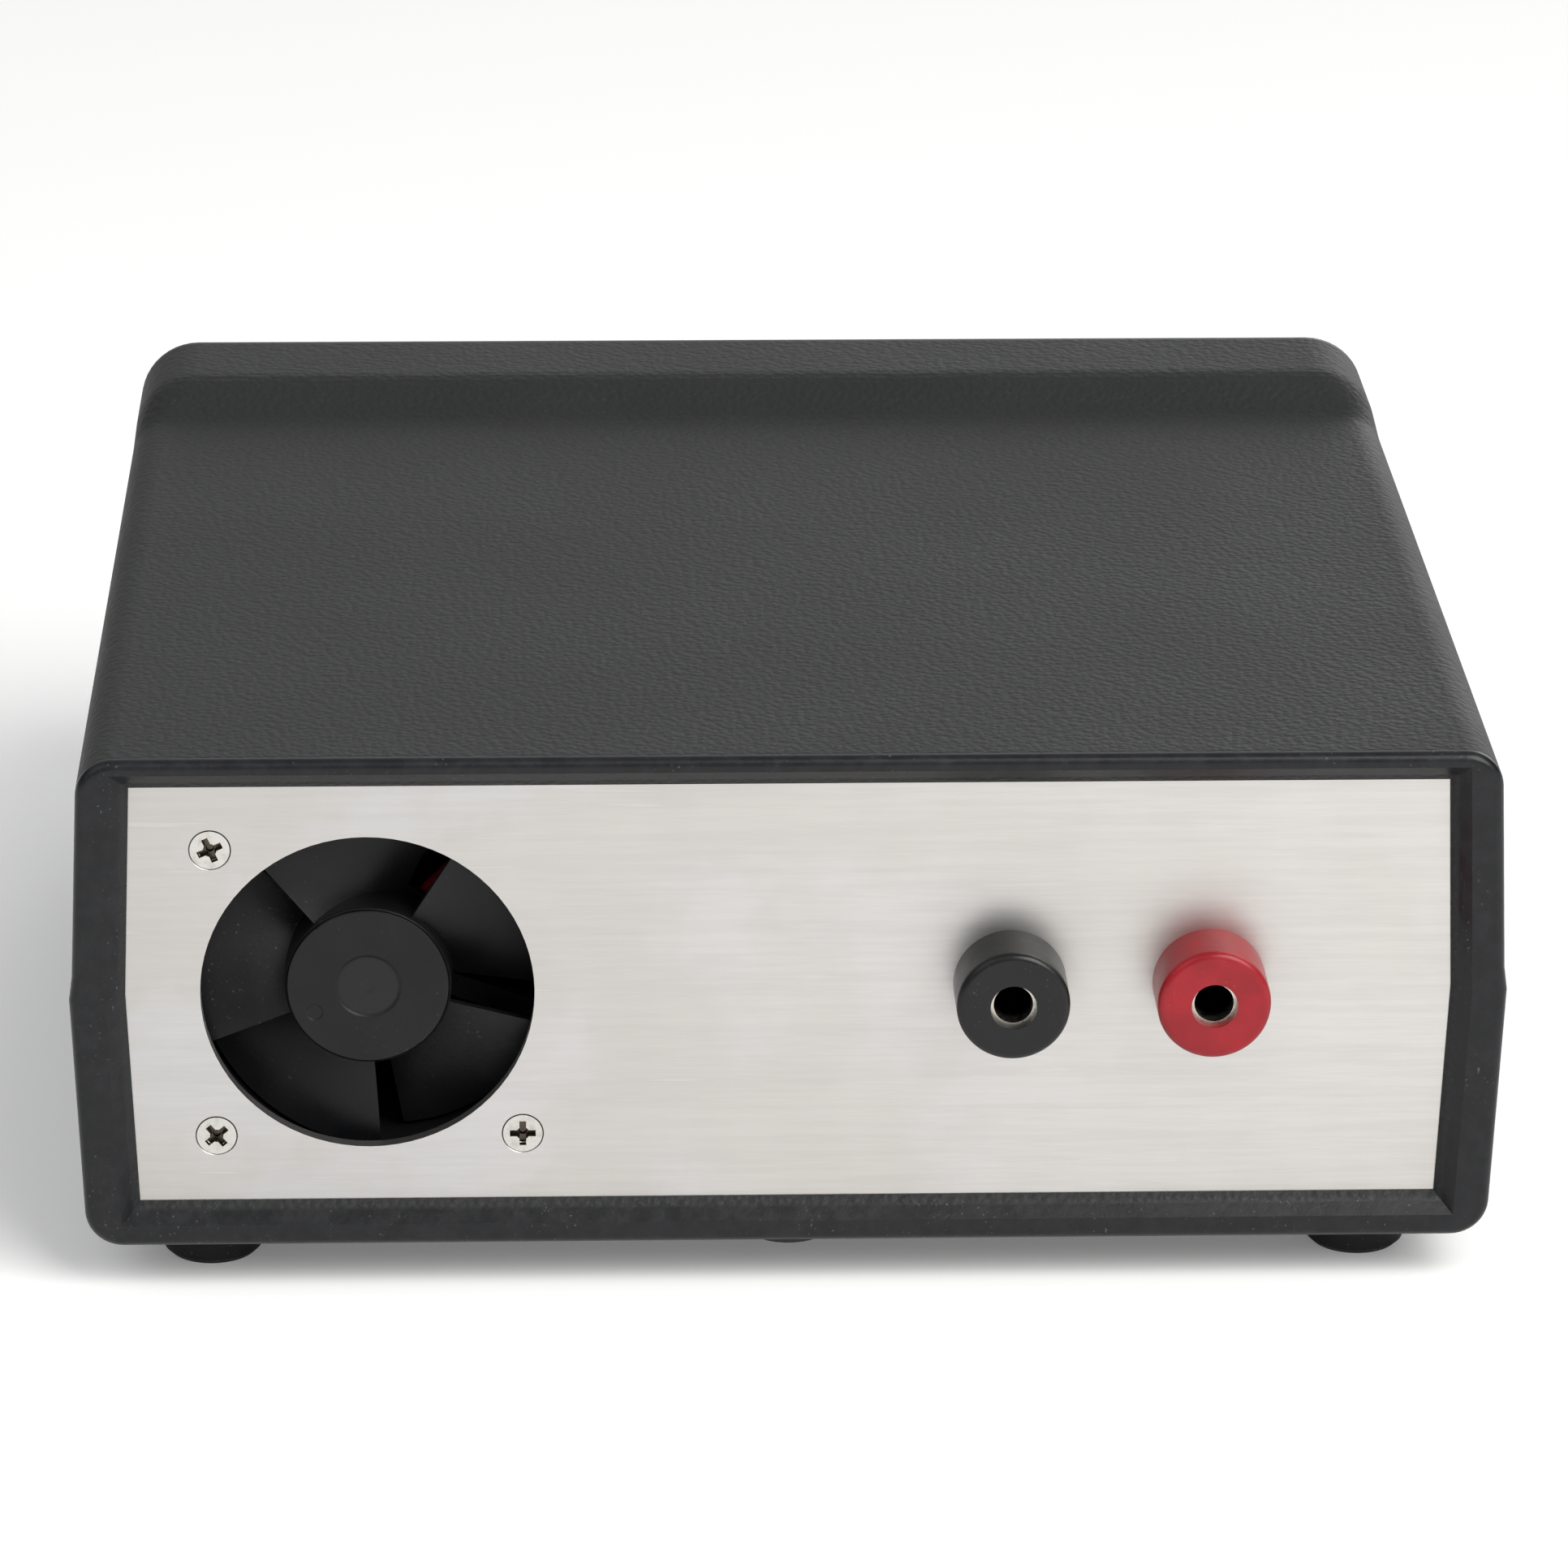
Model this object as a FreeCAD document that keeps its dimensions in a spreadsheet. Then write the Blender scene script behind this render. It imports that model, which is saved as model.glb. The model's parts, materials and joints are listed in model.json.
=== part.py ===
import FreeCAD, Part
# Bench power supply in a two-part plastic instrument case.
#
# Frame: +Z up, the control panel faces -Y, the rear panel with the fan and the
# input sockets faces +Y. The origin is the middle of the footprint, on the
# surface that the feet stand on. Millimetres.
import math
import os
import re
import Sketcher

V = FreeCAD.Vector
doc = FreeCAD.newDocument("BenchPowerSupply")

# ---------------------------------------------------------------- sizes
# Every size that can be chosen by itself has one cell in the sheet.
DRIVING = {
    # case
    "case_width": 149.5, "case_depth": 135.4, "parting_height": 27.85,
    "rear_height": 54.3, "brow_rise": 3.6, "ramp_start": 113.0, "ramp_run": 9.0,
    "draft": 2.3, "corner_radius": 4.0, "brow_rounding": 3.0, "edge_round": 1.0,
    "lip_flare": 0.35, "lip_height": 2.5, "wall": 2.2,
    "rim_bevel": 2.0, "rim_land": 0.15, "rim_side": 5.75, "rim_foot": 4.5, "rim_head": 3.5, "brow_rim_head": 5.2,
    "panel_thick": 1.5, "panel_grip": 1.5, "slot_play": 0.15, "rim_lip": 1.5,
    # case fastening and feet
    "post_radius": 4.2, "post_inset": 26.0, "post_side": 12.7, "post_hole": 1.65,
    "head_hole": 3.3, "seat_height": 12.0, "screw_radius": 1.5, "screw_head": 2.8,
    "screw_reach": 10.0, "bore_play": 0.1,
    "foot_height": 5.2, "foot_inset": 12.0, "foot_side": 13.75, "foot_top": 6.2,
    "foot_base": 5.2, "stem_radius": 2.0, "stem_length": 3.6, "pad_radius": 4.5,
    "vent_length": 34.0, "vent_width": 2.4, "vent_pitch": 6.0,
    # fan
    "fan_size": 40.0, "fan_depth": 10.0, "fan_pitch": 32.0, "fan_bore": 19.0,
    "fan_inset": 25.1, "fan_level": 27.8, "fan_opening": 17.35, "fan_corner": 3.0,
    "hub_radius": 8.7, "hub_round": 0.5, "hub_wall": 0.9, "hub_length": 7.7, "hub_gap": 0.4,
    "tip_gap": 0.45, "blade_thick": 0.9, "blade_drop": 5.8, "blade_span": 65.0,
    "blade_phase": -7.5, "fan_base_radius": 9.0, "fan_base_thick": 1.4, "strut_turn": 100.0,
    "fan_shaft_radius": 1.0, "fan_bearing_radius": 2.0, "fan_tube_wall": 0.8,
    "running_gap": 0.05, "magnet_thick": 1.3, "magnet_length": 5.0,
    "fan_hole": 1.6, "fan_screw": 1.25, "fan_screw_head": 2.12, "fan_screw_length": 14.5,
    "cross_width": 0.7, "cross_length": 2.7, "cross_depth": 0.85,
    "cross_core": 0.7, "nut_height": 2.0, "nut_radius": 2.9,
    # 4 mm sockets
    "socket_radius": 5.9, "socket_stand": 6.9, "socket_neck": 4.0, "socket_round": 0.8,
    "socket_sink": 1.0, "sleeve_outer": 2.4, "sleeve_bore": 2.05, "sleeve_depth": 17.0,
    "sleeve_end": 2.5, "ring_radius": 5.6, "ring_thick": 2.0, "big_nut": 4.6,
    "big_nut_height": 2.6, "socket_inset": 25.3, "socket_gap": 20.8, "socket_level": 28.4,
    "out_inset": 22.0, "out_gap": 19.0, "out_level": 15.5,
    # controls
    "knob_radius": 10.0, "knob_height": 15.0, "knob_gap": 0.8, "knob_clear": 0.5, "knob_inset": 19.0,
    "knob_spacing": 30.0, "knob_level": 37.0, "knob_wall": 1.6, "flute_radius": 0.9,
    "pot_radius": 8.2, "pot_depth": 9.0, "bush_radius": 3.5, "bush_length": 6.5,
    "pot_shaft": 3.0, "shaft_reach": 13.0, "pot_nut": 5.6, "pot_nut_height": 2.0,
    "window_width": 44.0, "window_height": 19.0, "window_inset": 8.0, "window_level": 39.0,
    "window_thick": 2.0, "window_rim": 1.6, "digit_depth": 7.0, "digit_width": 20.0,
    "digit_height": 13.0, "display_board_thick": 1.6,
    "switch_width": 15.0, "switch_height": 21.0, "switch_bezel": 1.6, "switch_depth": 18.0,
    "switch_inset": 18.0, "switch_level": 17.0, "switch_wall": 1.9, "rocker_gap": 0.35,
    "rocker_tilt": 11.0, "rocker_pivot": 1.2, "rocker_radius": 9.6,
    # electronics
    "board_rise": 6.0, "board_thick": 1.6, "board_left": -44.0, "board_right": 40.0,
    "board_rear": 28.0, "board_front": 40.0, "boss_radius": 3.0, "boss_inset": 4.5,
    "boss_hole": 1.35, "pan_head": 2.6, "pan_height": 1.9,
    "sink_height": 26.0, "sink_base": 3.0, "fin_length": 15.0, "fin_thick": 1.4,
    "fin_pitch": 3.9, "sink_margin": 9.5, "core_outer": 11.0, "core_inner": 6.4,
    "core_height": 9.0, "coil_wire": 0.6, "capacitor_radius": 8.0, "capacitor_height": 25.0,
    "terminal_width": 15.4, "terminal_depth": 8.0, "terminal_height": 10.5,
    "lead_radius": 0.9, "lead_bend": 5.0, "thin_lead": 0.6, "lead_apart": 2.3,
    "ribbon_width": 12.0, "ribbon_thick": 0.9, "ribbon_bend": 4.0,
}

sizes = doc.addObject("Spreadsheet::Sheet", "Sizes")
for row, (name, number) in enumerate(DRIVING.items(), 1):
    sizes.set(f"A{row}", name)
    sizes.set(f"B{row}", str(number))
    sizes.setAlias(f"B{row}", name)
doc.recompute()

# Sizes that follow from the driving ones, written as expressions.
RECESS = "(rim_bevel + rim_land)"
FRONT_REACH = f"(knob_gap + knob_height - {RECESS})"
REAR_REACH = f"(socket_stand - {RECESS})"
REAR_RIM = f"((case_depth + {FRONT_REACH} - {REAR_REACH}) / 2)"
FRONT_RIM = f"({REAR_RIM} - case_depth)"
REAR_FACE = f"({REAR_RIM} - {RECESS})"
FRONT_FACE = f"({FRONT_RIM} + {RECESS})"
BROW_HEIGHT = "(rear_height + brow_rise)"
FRONT_HEAD = f"({BROW_HEIGHT} - brow_rim_head)"
PANEL_SLOT = "(panel_thick + slot_play)"
RIM_DEPTH = f"({RECESS} + {PANEL_SLOT} + rim_lip)"
OPENING_HALF = "(case_width / 2 - rim_side)"
POST_X = "(case_width / 2 - post_side)"
FOOT_X = "(case_width / 2 - foot_side)"
FAN_X = f"({OPENING_HALF} - fan_inset)"
BLACK_IN_X = f"(-{OPENING_HALF} + socket_inset + socket_gap)"
RED_IN_X = f"(-{OPENING_HALF} + socket_inset)"
BLACK_OUT_X = f"({OPENING_HALF} - out_inset - out_gap)"
RED_OUT_X = f"({OPENING_HALF} - out_inset)"
CURRENT_X = f"({OPENING_HALF} - knob_inset)"
VOLTAGE_X = f"({OPENING_HALF} - knob_inset - knob_spacing)"
WINDOW_X = f"(-{OPENING_HALF} + window_inset + window_width / 2)"
SWITCH_X = f"(-{OPENING_HALF} + switch_inset)"
FLOOR = "(foot_height + wall)"
BOARD_LOW = f"({FLOOR} + board_rise)"
BOARD_TOP = f"({BOARD_LOW} + board_thick)"
BOARD_REAR = f"({REAR_RIM} - board_rear)"
BOARD_FRONT = f"({FRONT_RIM} + board_front)"
BOARD_MIDDLE = f"(({BOARD_REAR} + {BOARD_FRONT}) / 2)"

# A piece on a panel is drawn as its viewer sees it: x right, y up, z out.
FACING_REAR = FreeCAD.Rotation(180, 0, 90)
FACING_FRONT = FreeCAD.Rotation(0, 0, 90)
UPRIGHT = FreeCAD.Rotation()
NODES = {}


# ---------------------------------------------------------------- helpers
def tied(text):
    """Point each size's name in an expression at its cell in the sheet."""
    return re.sub(r"[a-z]\w*", lambda word: f"Sizes.{word[0]}" if word[0] in DRIVING else word[0], str(text))


def measure(text):
    """The present value of an expression, for the pieces shaped in code."""
    return float(sizes.evalExpression(tied(text)))


def bind(thing, **expressions):
    """Tie properties to the sheet; a double underscore stands for a dot."""
    for place, text in expressions.items():
        thing.setExpression(place.replace("__", "."), tied(text))


def place(thing, spot=("0", "0", "0"), turn=UPRIGHT):
    """Give a piece its placement, with each coordinate tied to the sheet."""
    thing.Placement = FreeCAD.Placement(V(0, 0, 0), turn)
    bind(thing, Placement__Base__x=spot[0], Placement__Base__y=spot[1], Placement__Base__z=spot[2])
    return thing


def node(name, thing):
    """Name a finished piece; its name is also its file's name."""
    thing.Label = name
    NODES[name] = thing
    return thing


def new_body(name):
    return doc.addObject("PartDesign::Body", name)


def new_sketch(body, role, name, offset="0"):
    """A sketch on one of the body's own origin planes, moved along its normal."""
    sketch = body.newObject("Sketcher::SketchObject", name)
    origin_plane = [item for item in body.Origin.OriginFeatures if item.Role == role][0]
    sketch.AttachmentSupport = (origin_plane, [""])
    sketch.MapMode = "FlatFace"
    bind(sketch, AttachmentOffset__Base__z=offset)
    return sketch


def pin(sketch, geometry, end, spot):
    """Hold one point of a sketch at a pair of expressions."""
    for kind, text in zip(("DistanceX", "DistanceY"), spot):
        number = sketch.addConstraint(Sketcher.Constraint(kind, -1, 1, geometry, end, measure(text)))
        sketch.setExpression(f"Constraints[{number}]", tied(text))


def draw_outline(sketch, corners, arcs=None):
    """Closed outline through the corners; arcs gives a radius and its centre for some sides."""
    arcs = arcs or {}
    first = sketch.GeometryCount
    count = len(corners)
    points = [V(measure(x), measure(y), 0) for x, y in corners]
    starts = [1] * count
    for side in range(count):
        start, stop = points[side], points[(side + 1) % count]
        if side not in arcs:
            sketch.addGeometry(Part.LineSegment(start, stop), False)
            continue
        radius, centre = arcs[side]
        middle = V(measure(centre[0]), measure(centre[1]), 0)
        if (start - middle).cross(stop - middle).z < 0:
            start, stop = stop, start
            starts[side] = 2
        angles = [math.atan2(end.y - middle.y, end.x - middle.x) for end in (start, stop)]
        circle = Part.Circle(middle, V(0, 0, 1), measure(radius))
        sketch.addGeometry(Part.ArcOfCircle(circle, *angles), False)
    for side in range(count):
        after = (side + 1) % count
        stop = 3 - starts[side]
        sketch.addConstraint(Sketcher.Constraint("Coincident", first + side, stop, first + after, starts[after]))
        pin(sketch, first + side, starts[side], corners[side])
        if side in arcs:
            radius = arcs[side][0]
            number = sketch.addConstraint(Sketcher.Constraint("Radius", first + side, measure(radius)))
            sketch.setExpression(f"Constraints[{number}]", tied(radius))


def draw_box(sketch, left, right, low, high):
    draw_outline(sketch, [(left, low), (right, low), (right, high), (left, high)])


def draw_circle(sketch, x, y, radius):
    where = V(measure(x), measure(y), 0)
    number = sketch.addGeometry(Part.Circle(where, V(0, 0, 1), measure(radius)), False)
    size = sketch.addConstraint(Sketcher.Constraint("Radius", number, measure(radius)))
    sketch.setExpression(f"Constraints[{size}]", tied(radius))
    pin(sketch, number, 3, (x, y))


def pad(body, sketch, length, back=False, middle=False):
    feature = body.newObject("PartDesign::Pad", f"{sketch.Name}_pad")
    feature.Profile = sketch
    feature.Reversed = back
    feature.Midplane = middle
    feature.Refine = False
    bind(feature, Length=length)
    doc.recompute()
    return feature


def pocket(body, sketch, length, back=False, middle=False):
    """Cut a sketch out of a body, and make sure that it took material away."""
    before = body.Shape.Volume
    feature = body.newObject("PartDesign::Pocket", f"{sketch.Name}_cut")
    feature.Profile = sketch
    feature.Reversed = back
    feature.Midplane = middle
    feature.Refine = False
    bind(feature, Length=length)
    doc.recompute()
    if feature.Shape.Volume >= before - 1e-6:
        raise ValueError(f"{sketch.Name} cut nothing")
    return feature


def edges_where(body, test):
    """Names of a body's edges whose two end points and middle all pass a test."""
    found = []
    for number, edge in enumerate(body.Shape.Edges, 1):
        first, last = edge.ParameterRange
        spots = [edge.valueAt(first), edge.valueAt((first + last) / 2), edge.valueAt(last)]
        spots = [body.Placement.inverse().multVec(spot) for spot in spots]
        if all(test(spot) for spot in spots):
            found.append(f"Edge{number}")
    return found


def soften(body, size, test, kind="Fillet", reach=None):
    """Round or chamfer the edges that pass a test; reach can also test an edge's lowest point."""
    base = body.Tip
    names = edges_where(body, test)
    if reach:
        names = [name for name in names if reach(min(v.Z for v in body.Shape.getElement(name).Vertexes))]
    if not names:
        raise ValueError(f"{body.Name} has no edge to soften")
    feature = body.newObject(f"PartDesign::{kind}", f"{body.Name}_soft")
    feature.Base = (base, names)
    feature.Refine = False
    bind(feature, **{"Radius" if kind == "Fillet" else "Size": size})
    doc.recompute()
    return feature


def turned(name, profile, plane="XZ_Plane"):
    """A solid of revolution about its own z axis, from pairs of radius and height."""
    body = new_body(name)
    sketch = new_sketch(body, plane, f"{name}_profile")
    draw_outline(sketch, profile)
    spin = body.newObject("PartDesign::Revolution", f"{name}_turning")
    spin.Profile = sketch
    spin.ReferenceAxis = (sketch, ["V_Axis"])
    spin.Angle = 360
    doc.recompute()
    return body


def tube_profile(inner, outer, low, high):
    return [(inner, low), (outer, low), (outer, high), (inner, high)]


def block(x, y, z):
    """A box between pairs of expressions along X, Y and Z."""
    box = doc.addObject("Part::Box", "block")
    bind(box, Length=f"{x[1]} - ({x[0]})", Width=f"{y[1]} - ({y[0]})", Height=f"{z[1]} - ({z[0]})")
    return place(box, (x[0], y[0], z[0]))


def cylinder(radius, length, spot=("0", "0", "0"), turn=UPRIGHT):
    rod = doc.addObject("Part::Cylinder", "rod")
    bind(rod, Radius=radius, Height=length)
    return place(rod, spot, turn)


def cut(base, *tools):
    for tool in tools:
        result = doc.addObject("Part::Cut", "cut")
        result.Base = base
        result.Tool = tool
        base = result
    return base


def fused(*pieces):
    result = doc.addObject("Part::MultiFuse", "fused")
    result.Shapes = list(pieces)
    return result


def group(name, pieces):
    """Identical separate pieces that share one node."""
    result = doc.addObject("Part::Compound", name)
    result.Links = pieces
    return node(name, result)


def level(height):
    """A height above the case's underside, in the object's frame."""
    return f"(foot_height + {height})"


# ---------------------------------------------------------------- case
def flank(height, up):
    """Half width of the drafted side at a height; up is the top shell's side."""
    if up:
        return f"(case_width / 2 - lip_flare - ({height} - parting_height) * tan(draft))"
    return f"(case_width / 2 - (parting_height - {height}) * tan(draft))"


def shell_section(body, name, depth, height, rounding, up):
    """One cross-section of a shell's outside, at a depth from the rear rim."""
    sign = "+" if up else "-"
    centre_z = f"({height} {'-' if up else '+'} ({rounding}))"
    centre_x = f"({flank(centre_z, up)} - ({rounding}) / cos(draft))"
    side = (f"({centre_x} + ({rounding}) * cos(draft))", f"({centre_z} {sign} ({rounding}) * sin(draft))")
    half = [("case_width / 2", "parting_height")]
    if up:
        half.append(("case_width / 2 - lip_flare", "parting_height + lip_height"))
    half += [side, (centre_x, height)]
    mirrored = [(f"-({x})", z) for x, z in reversed(half)]
    sketch = new_sketch(body, "XZ_Plane", name, depth)
    first = len(half) - 2
    arcs = {
        first: (rounding, (centre_x, centre_z)),
        first + 2: (rounding, (f"-{centre_x}", centre_z)),
    }
    draw_outline(sketch, half + mirrored, arcs)
    return sketch


def opening_half(height, margin):
    return f"({OPENING_HALF} - abs(parting_height - ({height})) * tan(draft) + ({margin}))"


def opening_outline(low, high, margin):
    """Six-sided outline of the panel opening, widest at the parting line."""
    stops = [f"({low} - ({margin}))", "parting_height", f"({high} + ({margin}))"]
    right = [(opening_half(stop, margin), stop) for stop in stops]
    return right + [(f"-{x}", z) for x, z in reversed(right)]


def half_opening(end, margin, outward):
    """The part of a panel opening on one side of the parting line, and just over it."""
    stops = [f"(parting_height {'+' if outward == '-' else '-'} rim_lip)", "parting_height", f"({end})"]
    right = [(opening_half(stop, margin), stop) for stop in stops]
    return right + [(f"-{x}", z) for x, z in reversed(right)]


def cut_panel_seats(body, rear_end, front_end, outward):
    """Window, slot and bevel at both ends of a shell."""
    ends = (("rear", "0", RIM_DEPTH, rear_end, RECESS),
            ("front", f"case_depth - {RIM_DEPTH}", RIM_DEPTH, front_end,
             f"case_depth - {RECESS} - {PANEL_SLOT}"))
    for name, start, length, end, slot_start in ends:
        window = new_sketch(body, "XZ_Plane", f"{body.Name}_{name}_window", start)
        draw_outline(window, half_opening(end, "0", outward))
        pocket(body, window, length, back=True)
        face = measure("0" if name == "rear" else "-case_depth")
        reach = measure(end)
        half = measure(OPENING_HALF) + 0.1
        middle = measure("parting_height")

        def on_window(spot):
            inside = abs(spot.x) < half and min(middle, reach) - 0.01 < spot.z < max(middle, reach) + 0.01
            return abs(spot.y - face) < 0.01 and inside
        soften(body, "rim_bevel", on_window, "Chamfer")
        slot = new_sketch(body, "XZ_Plane", f"{body.Name}_{name}_slot", slot_start)
        draw_outline(slot, half_opening(f"{end} {outward} panel_grip", "panel_grip", outward))
        pocket(body, slot, PANEL_SLOT, back=True)


def at_either_end(spot):
    """Whether a point of a shell lies in its rear or front face."""
    return abs(spot.y) < 0.01 or abs(spot.y + measure("case_depth")) < 0.01


def posts(sketch, radius):
    for side in ("-", ""):
        for depth in ("-post_inset", "-(case_depth - post_inset)"):
            draw_circle(sketch, f"{side}{POST_X}", depth, radius)


def bottom_shell():
    """Tray with panel slots, screw posts, board bosses, foot holes and vents."""
    body = new_body("bottom_shell")
    section = shell_section(body, "bottom_section", "0", "0", "corner_radius", False)
    pad(body, section, "case_depth")
    middle = measure("parting_height")
    soften(body, "edge_round", at_either_end, reach=lambda low: low < middle - 0.5)
    hollow = new_sketch(body, "XY_Plane", "bottom_hollow", "parting_height")
    inner = f"({flank('0', False)} - wall)"
    draw_box(hollow, f"-{inner}", inner, f"-(case_depth - {RIM_DEPTH})", f"-{RIM_DEPTH}")
    pocket(body, hollow, "parting_height - wall")
    floor = measure("wall")
    soften(body, "corner_radius - wall", lambda spot: abs(spot.z - floor) < 0.01 and abs(spot.x) > 60)
    cut_panel_seats(body, "rim_foot", "rim_foot", "-")
    post = new_sketch(body, "XY_Plane", "bottom_posts", "wall")
    posts(post, "post_radius")
    pad(body, post, "parting_height - wall")
    boss = new_sketch(body, "XY_Plane", "board_bosses", "wall")
    board_spots(lambda x, y: draw_circle(boss, x, y, "boss_radius"))
    pad(body, boss, "board_rise")
    boss_bore = new_sketch(body, "XY_Plane", "boss_bores", "wall + board_rise")
    board_spots(lambda x, y: draw_circle(boss_bore, x, y, "boss_hole"))
    pocket(body, boss_bore, "board_rise")
    bore = new_sketch(body, "XY_Plane", "post_bores", "parting_height")
    posts(bore, "post_hole")
    pocket(body, bore, "parting_height")
    seat = new_sketch(body, "XY_Plane", "head_bores")
    posts(seat, "head_hole")
    pocket(body, seat, "seat_height", back=True)
    stem = new_sketch(body, "XY_Plane", "foot_holes")
    foot_spots(lambda x, y: draw_circle(stem, x, y, "stem_radius + bore_play"))
    pocket(body, stem, "wall", back=True)
    pip = new_sketch(body, "XY_Plane", "moulding_pad")
    draw_circle(pip, "0", "-pad_radius - edge_round", "pad_radius")
    pad(body, pip, "edge_round / 2", back=True)
    vent = new_sketch(body, "XY_Plane", "floor_vents")
    for step in range(-3, 4):
        low = f"-(case_depth - board_front) + {step} * vent_pitch + 4 * vent_pitch - vent_width / 2"
        draw_box(vent, "-vent_length / 2", "vent_length / 2", low, f"({low}) + vent_width")
    pocket(body, vent, "wall", back=True)
    place(body, ("0", REAR_RIM, "foot_height"))
    return node("bottom_shell", body)


def board_spots(draw):
    """The board's four fixing points, in the shells' frame."""
    for x in ("board_left + boss_inset", "board_right - boss_inset"):
        for y in ("-board_rear - boss_inset", "-(case_depth - board_front) + boss_inset"):
            draw(x, y)


def foot_spots(draw):
    for x in (f"-{FOOT_X}", FOOT_X):
        for y in ("-foot_inset", "-(case_depth - foot_inset)"):
            draw(x, y)


RAMP_STEPS = 10


def top_shell():
    """Cover whose top ramps up to a raised, rounder brow over the front panel."""
    body = new_body("top_shell")
    sections = [shell_section(body, "top_rear", "0", "rear_height", "corner_radius", True)]
    for step in range(RAMP_STEPS + 1):
        share = step / RAMP_STEPS
        rise = round(share * share * (3 - 2 * share), 5)
        sections.append(shell_section(
            body, f"top_ramp_{step}", f"ramp_start + ramp_run * {share}",
            f"(rear_height + brow_rise * {rise})", f"(corner_radius + brow_rounding * {rise})", True))
    sections.append(shell_section(
        body, "top_front", "case_depth", BROW_HEIGHT, "(corner_radius + brow_rounding)", True))
    loft = body.newObject("PartDesign::AdditiveLoft", "top_outside")
    loft.Profile = sections[0]
    loft.Sections = sections[1:]
    loft.Ruled = True
    doc.recompute()
    lip = measure("parting_height + lip_height")
    soften(body, "edge_round", at_either_end, reach=lambda low: low > lip - 0.01)
    inner = f"({flank('rear_height', True)} - wall)"
    hollow = new_sketch(body, "XY_Plane", "top_hollow", "parting_height")
    draw_box(hollow, f"-{inner}", inner, f"-(case_depth - {RIM_DEPTH})", f"-{RIM_DEPTH}")
    pocket(body, hollow, "rear_height - wall - parting_height", back=True)
    ceiling = measure("rear_height - wall")
    soften(body, "corner_radius - wall", lambda spot: abs(spot.z - ceiling) < 0.01 and abs(spot.x) > 60)
    brow = new_sketch(body, "XY_Plane", "brow_hollow", "parting_height")
    brow_half = f"({inner} - corner_radius)"
    draw_box(brow, f"-{brow_half}", brow_half, f"-(case_depth - {RIM_DEPTH})",
             "-(ramp_start + ramp_run + wall)")
    pocket(body, brow, f"{BROW_HEIGHT} - wall - parting_height", back=True)
    cut_panel_seats(body, "rear_height - rim_head", FRONT_HEAD, "+")
    post = new_sketch(body, "XY_Plane", "top_posts", "parting_height")
    posts(post, "post_radius")
    pad(body, post, "rear_height - wall - parting_height")
    bore = new_sketch(body, "XY_Plane", "top_post_bores", "parting_height")
    posts(bore, "screw_radius + bore_play")
    pocket(body, bore, "screw_reach + 2", back=True)
    place(body, ("0", REAR_RIM, "foot_height"))
    return node("top_shell", body)


def case_screws():
    """Four long screws that come up through the bottom posts."""
    screws = []
    length = "(parting_height - seat_height + screw_reach)"
    for side in ("-", ""):
        for y in (f"{REAR_RIM} - post_inset", f"{FRONT_RIM} + post_inset"):
            spot = (f"{side}{POST_X}", y)
            head = cylinder("screw_head", "2.2", (*spot, level("seat_height - 2.2")))
            shank = cylinder("screw_radius", length, (*spot, level("seat_height")))
            slot = cross_recess(spot, level("seat_height - 2.2"), UPRIGHT, 0, "cross_length")
            screws.append(cut(fused(head, shank), slot))
    return group("case_screws", screws)


def cross_recess(spot, height, turn, angle, length):
    """Two crossing slots and a tapered middle that sink into a screw's head from its outer face."""
    core = doc.addObject("Part::Cone", "core")
    bind(core, Radius1="cross_core / 2", Radius2="cross_core", Height="cross_depth * 1.4")
    shift = turn.multVec(V(0, 0, measure("cross_depth * 1.4")))
    place(core, (f"{spot[0]} - {shift.x}", f"{spot[1]} - {shift.y}", f"{height} - {shift.z}"), turn)
    arms = [core]
    for quarter in (0, 90):
        arm = doc.addObject("Part::Box", "arm")
        bind(arm, Length=length, Width="cross_width", Height="2 * cross_depth")
        spin = turn.multiply(FreeCAD.Rotation(V(0, 0, 1), angle + quarter))
        shift = spin.multVec(V(measure(length) / 2, measure("cross_width") / 2, measure("cross_depth")))
        place(arm, (f"{spot[0]} - {shift.x}", f"{spot[1]} - {shift.y}", f"{height} - {shift.z}"), spin)
        arms.append(arm)
    return fused(*arms)


def feet():
    """Moulded rubber feet, pressed into the floor by their stems."""
    profile = [("0", "0"), ("foot_base - 0.6", "0"), ("foot_base", "0.6"),
               ("foot_top - 0.6", "foot_height - 1.2"), ("foot_top", "foot_height - 0.5"),
               ("foot_top", "foot_height"), ("stem_radius", "foot_height"),
               ("stem_radius", "foot_height + stem_length"), ("0", "foot_height + stem_length")]
    for side, x in (("left", f"-{FOOT_X}"), ("right", FOOT_X)):
        for end, y in (("rear", f"{REAR_RIM} - foot_inset"), ("front", f"{FRONT_RIM} + foot_inset")):
            name = f"foot_{end}_{side}"
            node(name, place(turned(name, profile), (x, y, "0")))


# ---------------------------------------------------------------- panels
def panel(name, high, facing, y):
    """A flat panel whose edges sit in the shells' slots."""
    body = new_body(name)
    plate = new_sketch(body, "XY_Plane", f"{name}_plate")
    draw_outline(plate, opening_outline("rim_foot", high, "panel_grip - slot_play"))
    pad(body, plate, "panel_thick", back=True)
    return node(name, place(body, ("0", y, "foot_height"), facing))


def drill(body, name, draw):
    """Cut holes right through a panel."""
    sketch = new_sketch(body, "XY_Plane", name)
    draw(sketch)
    pocket(body, sketch, "panel_thick")


def fan_screw_spots():
    """Three of the four fan corners hold a screw, seen from behind."""
    return [("-1", "1", 24), ("-1", "-1", 40), ("1", "-1", 0)]


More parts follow.
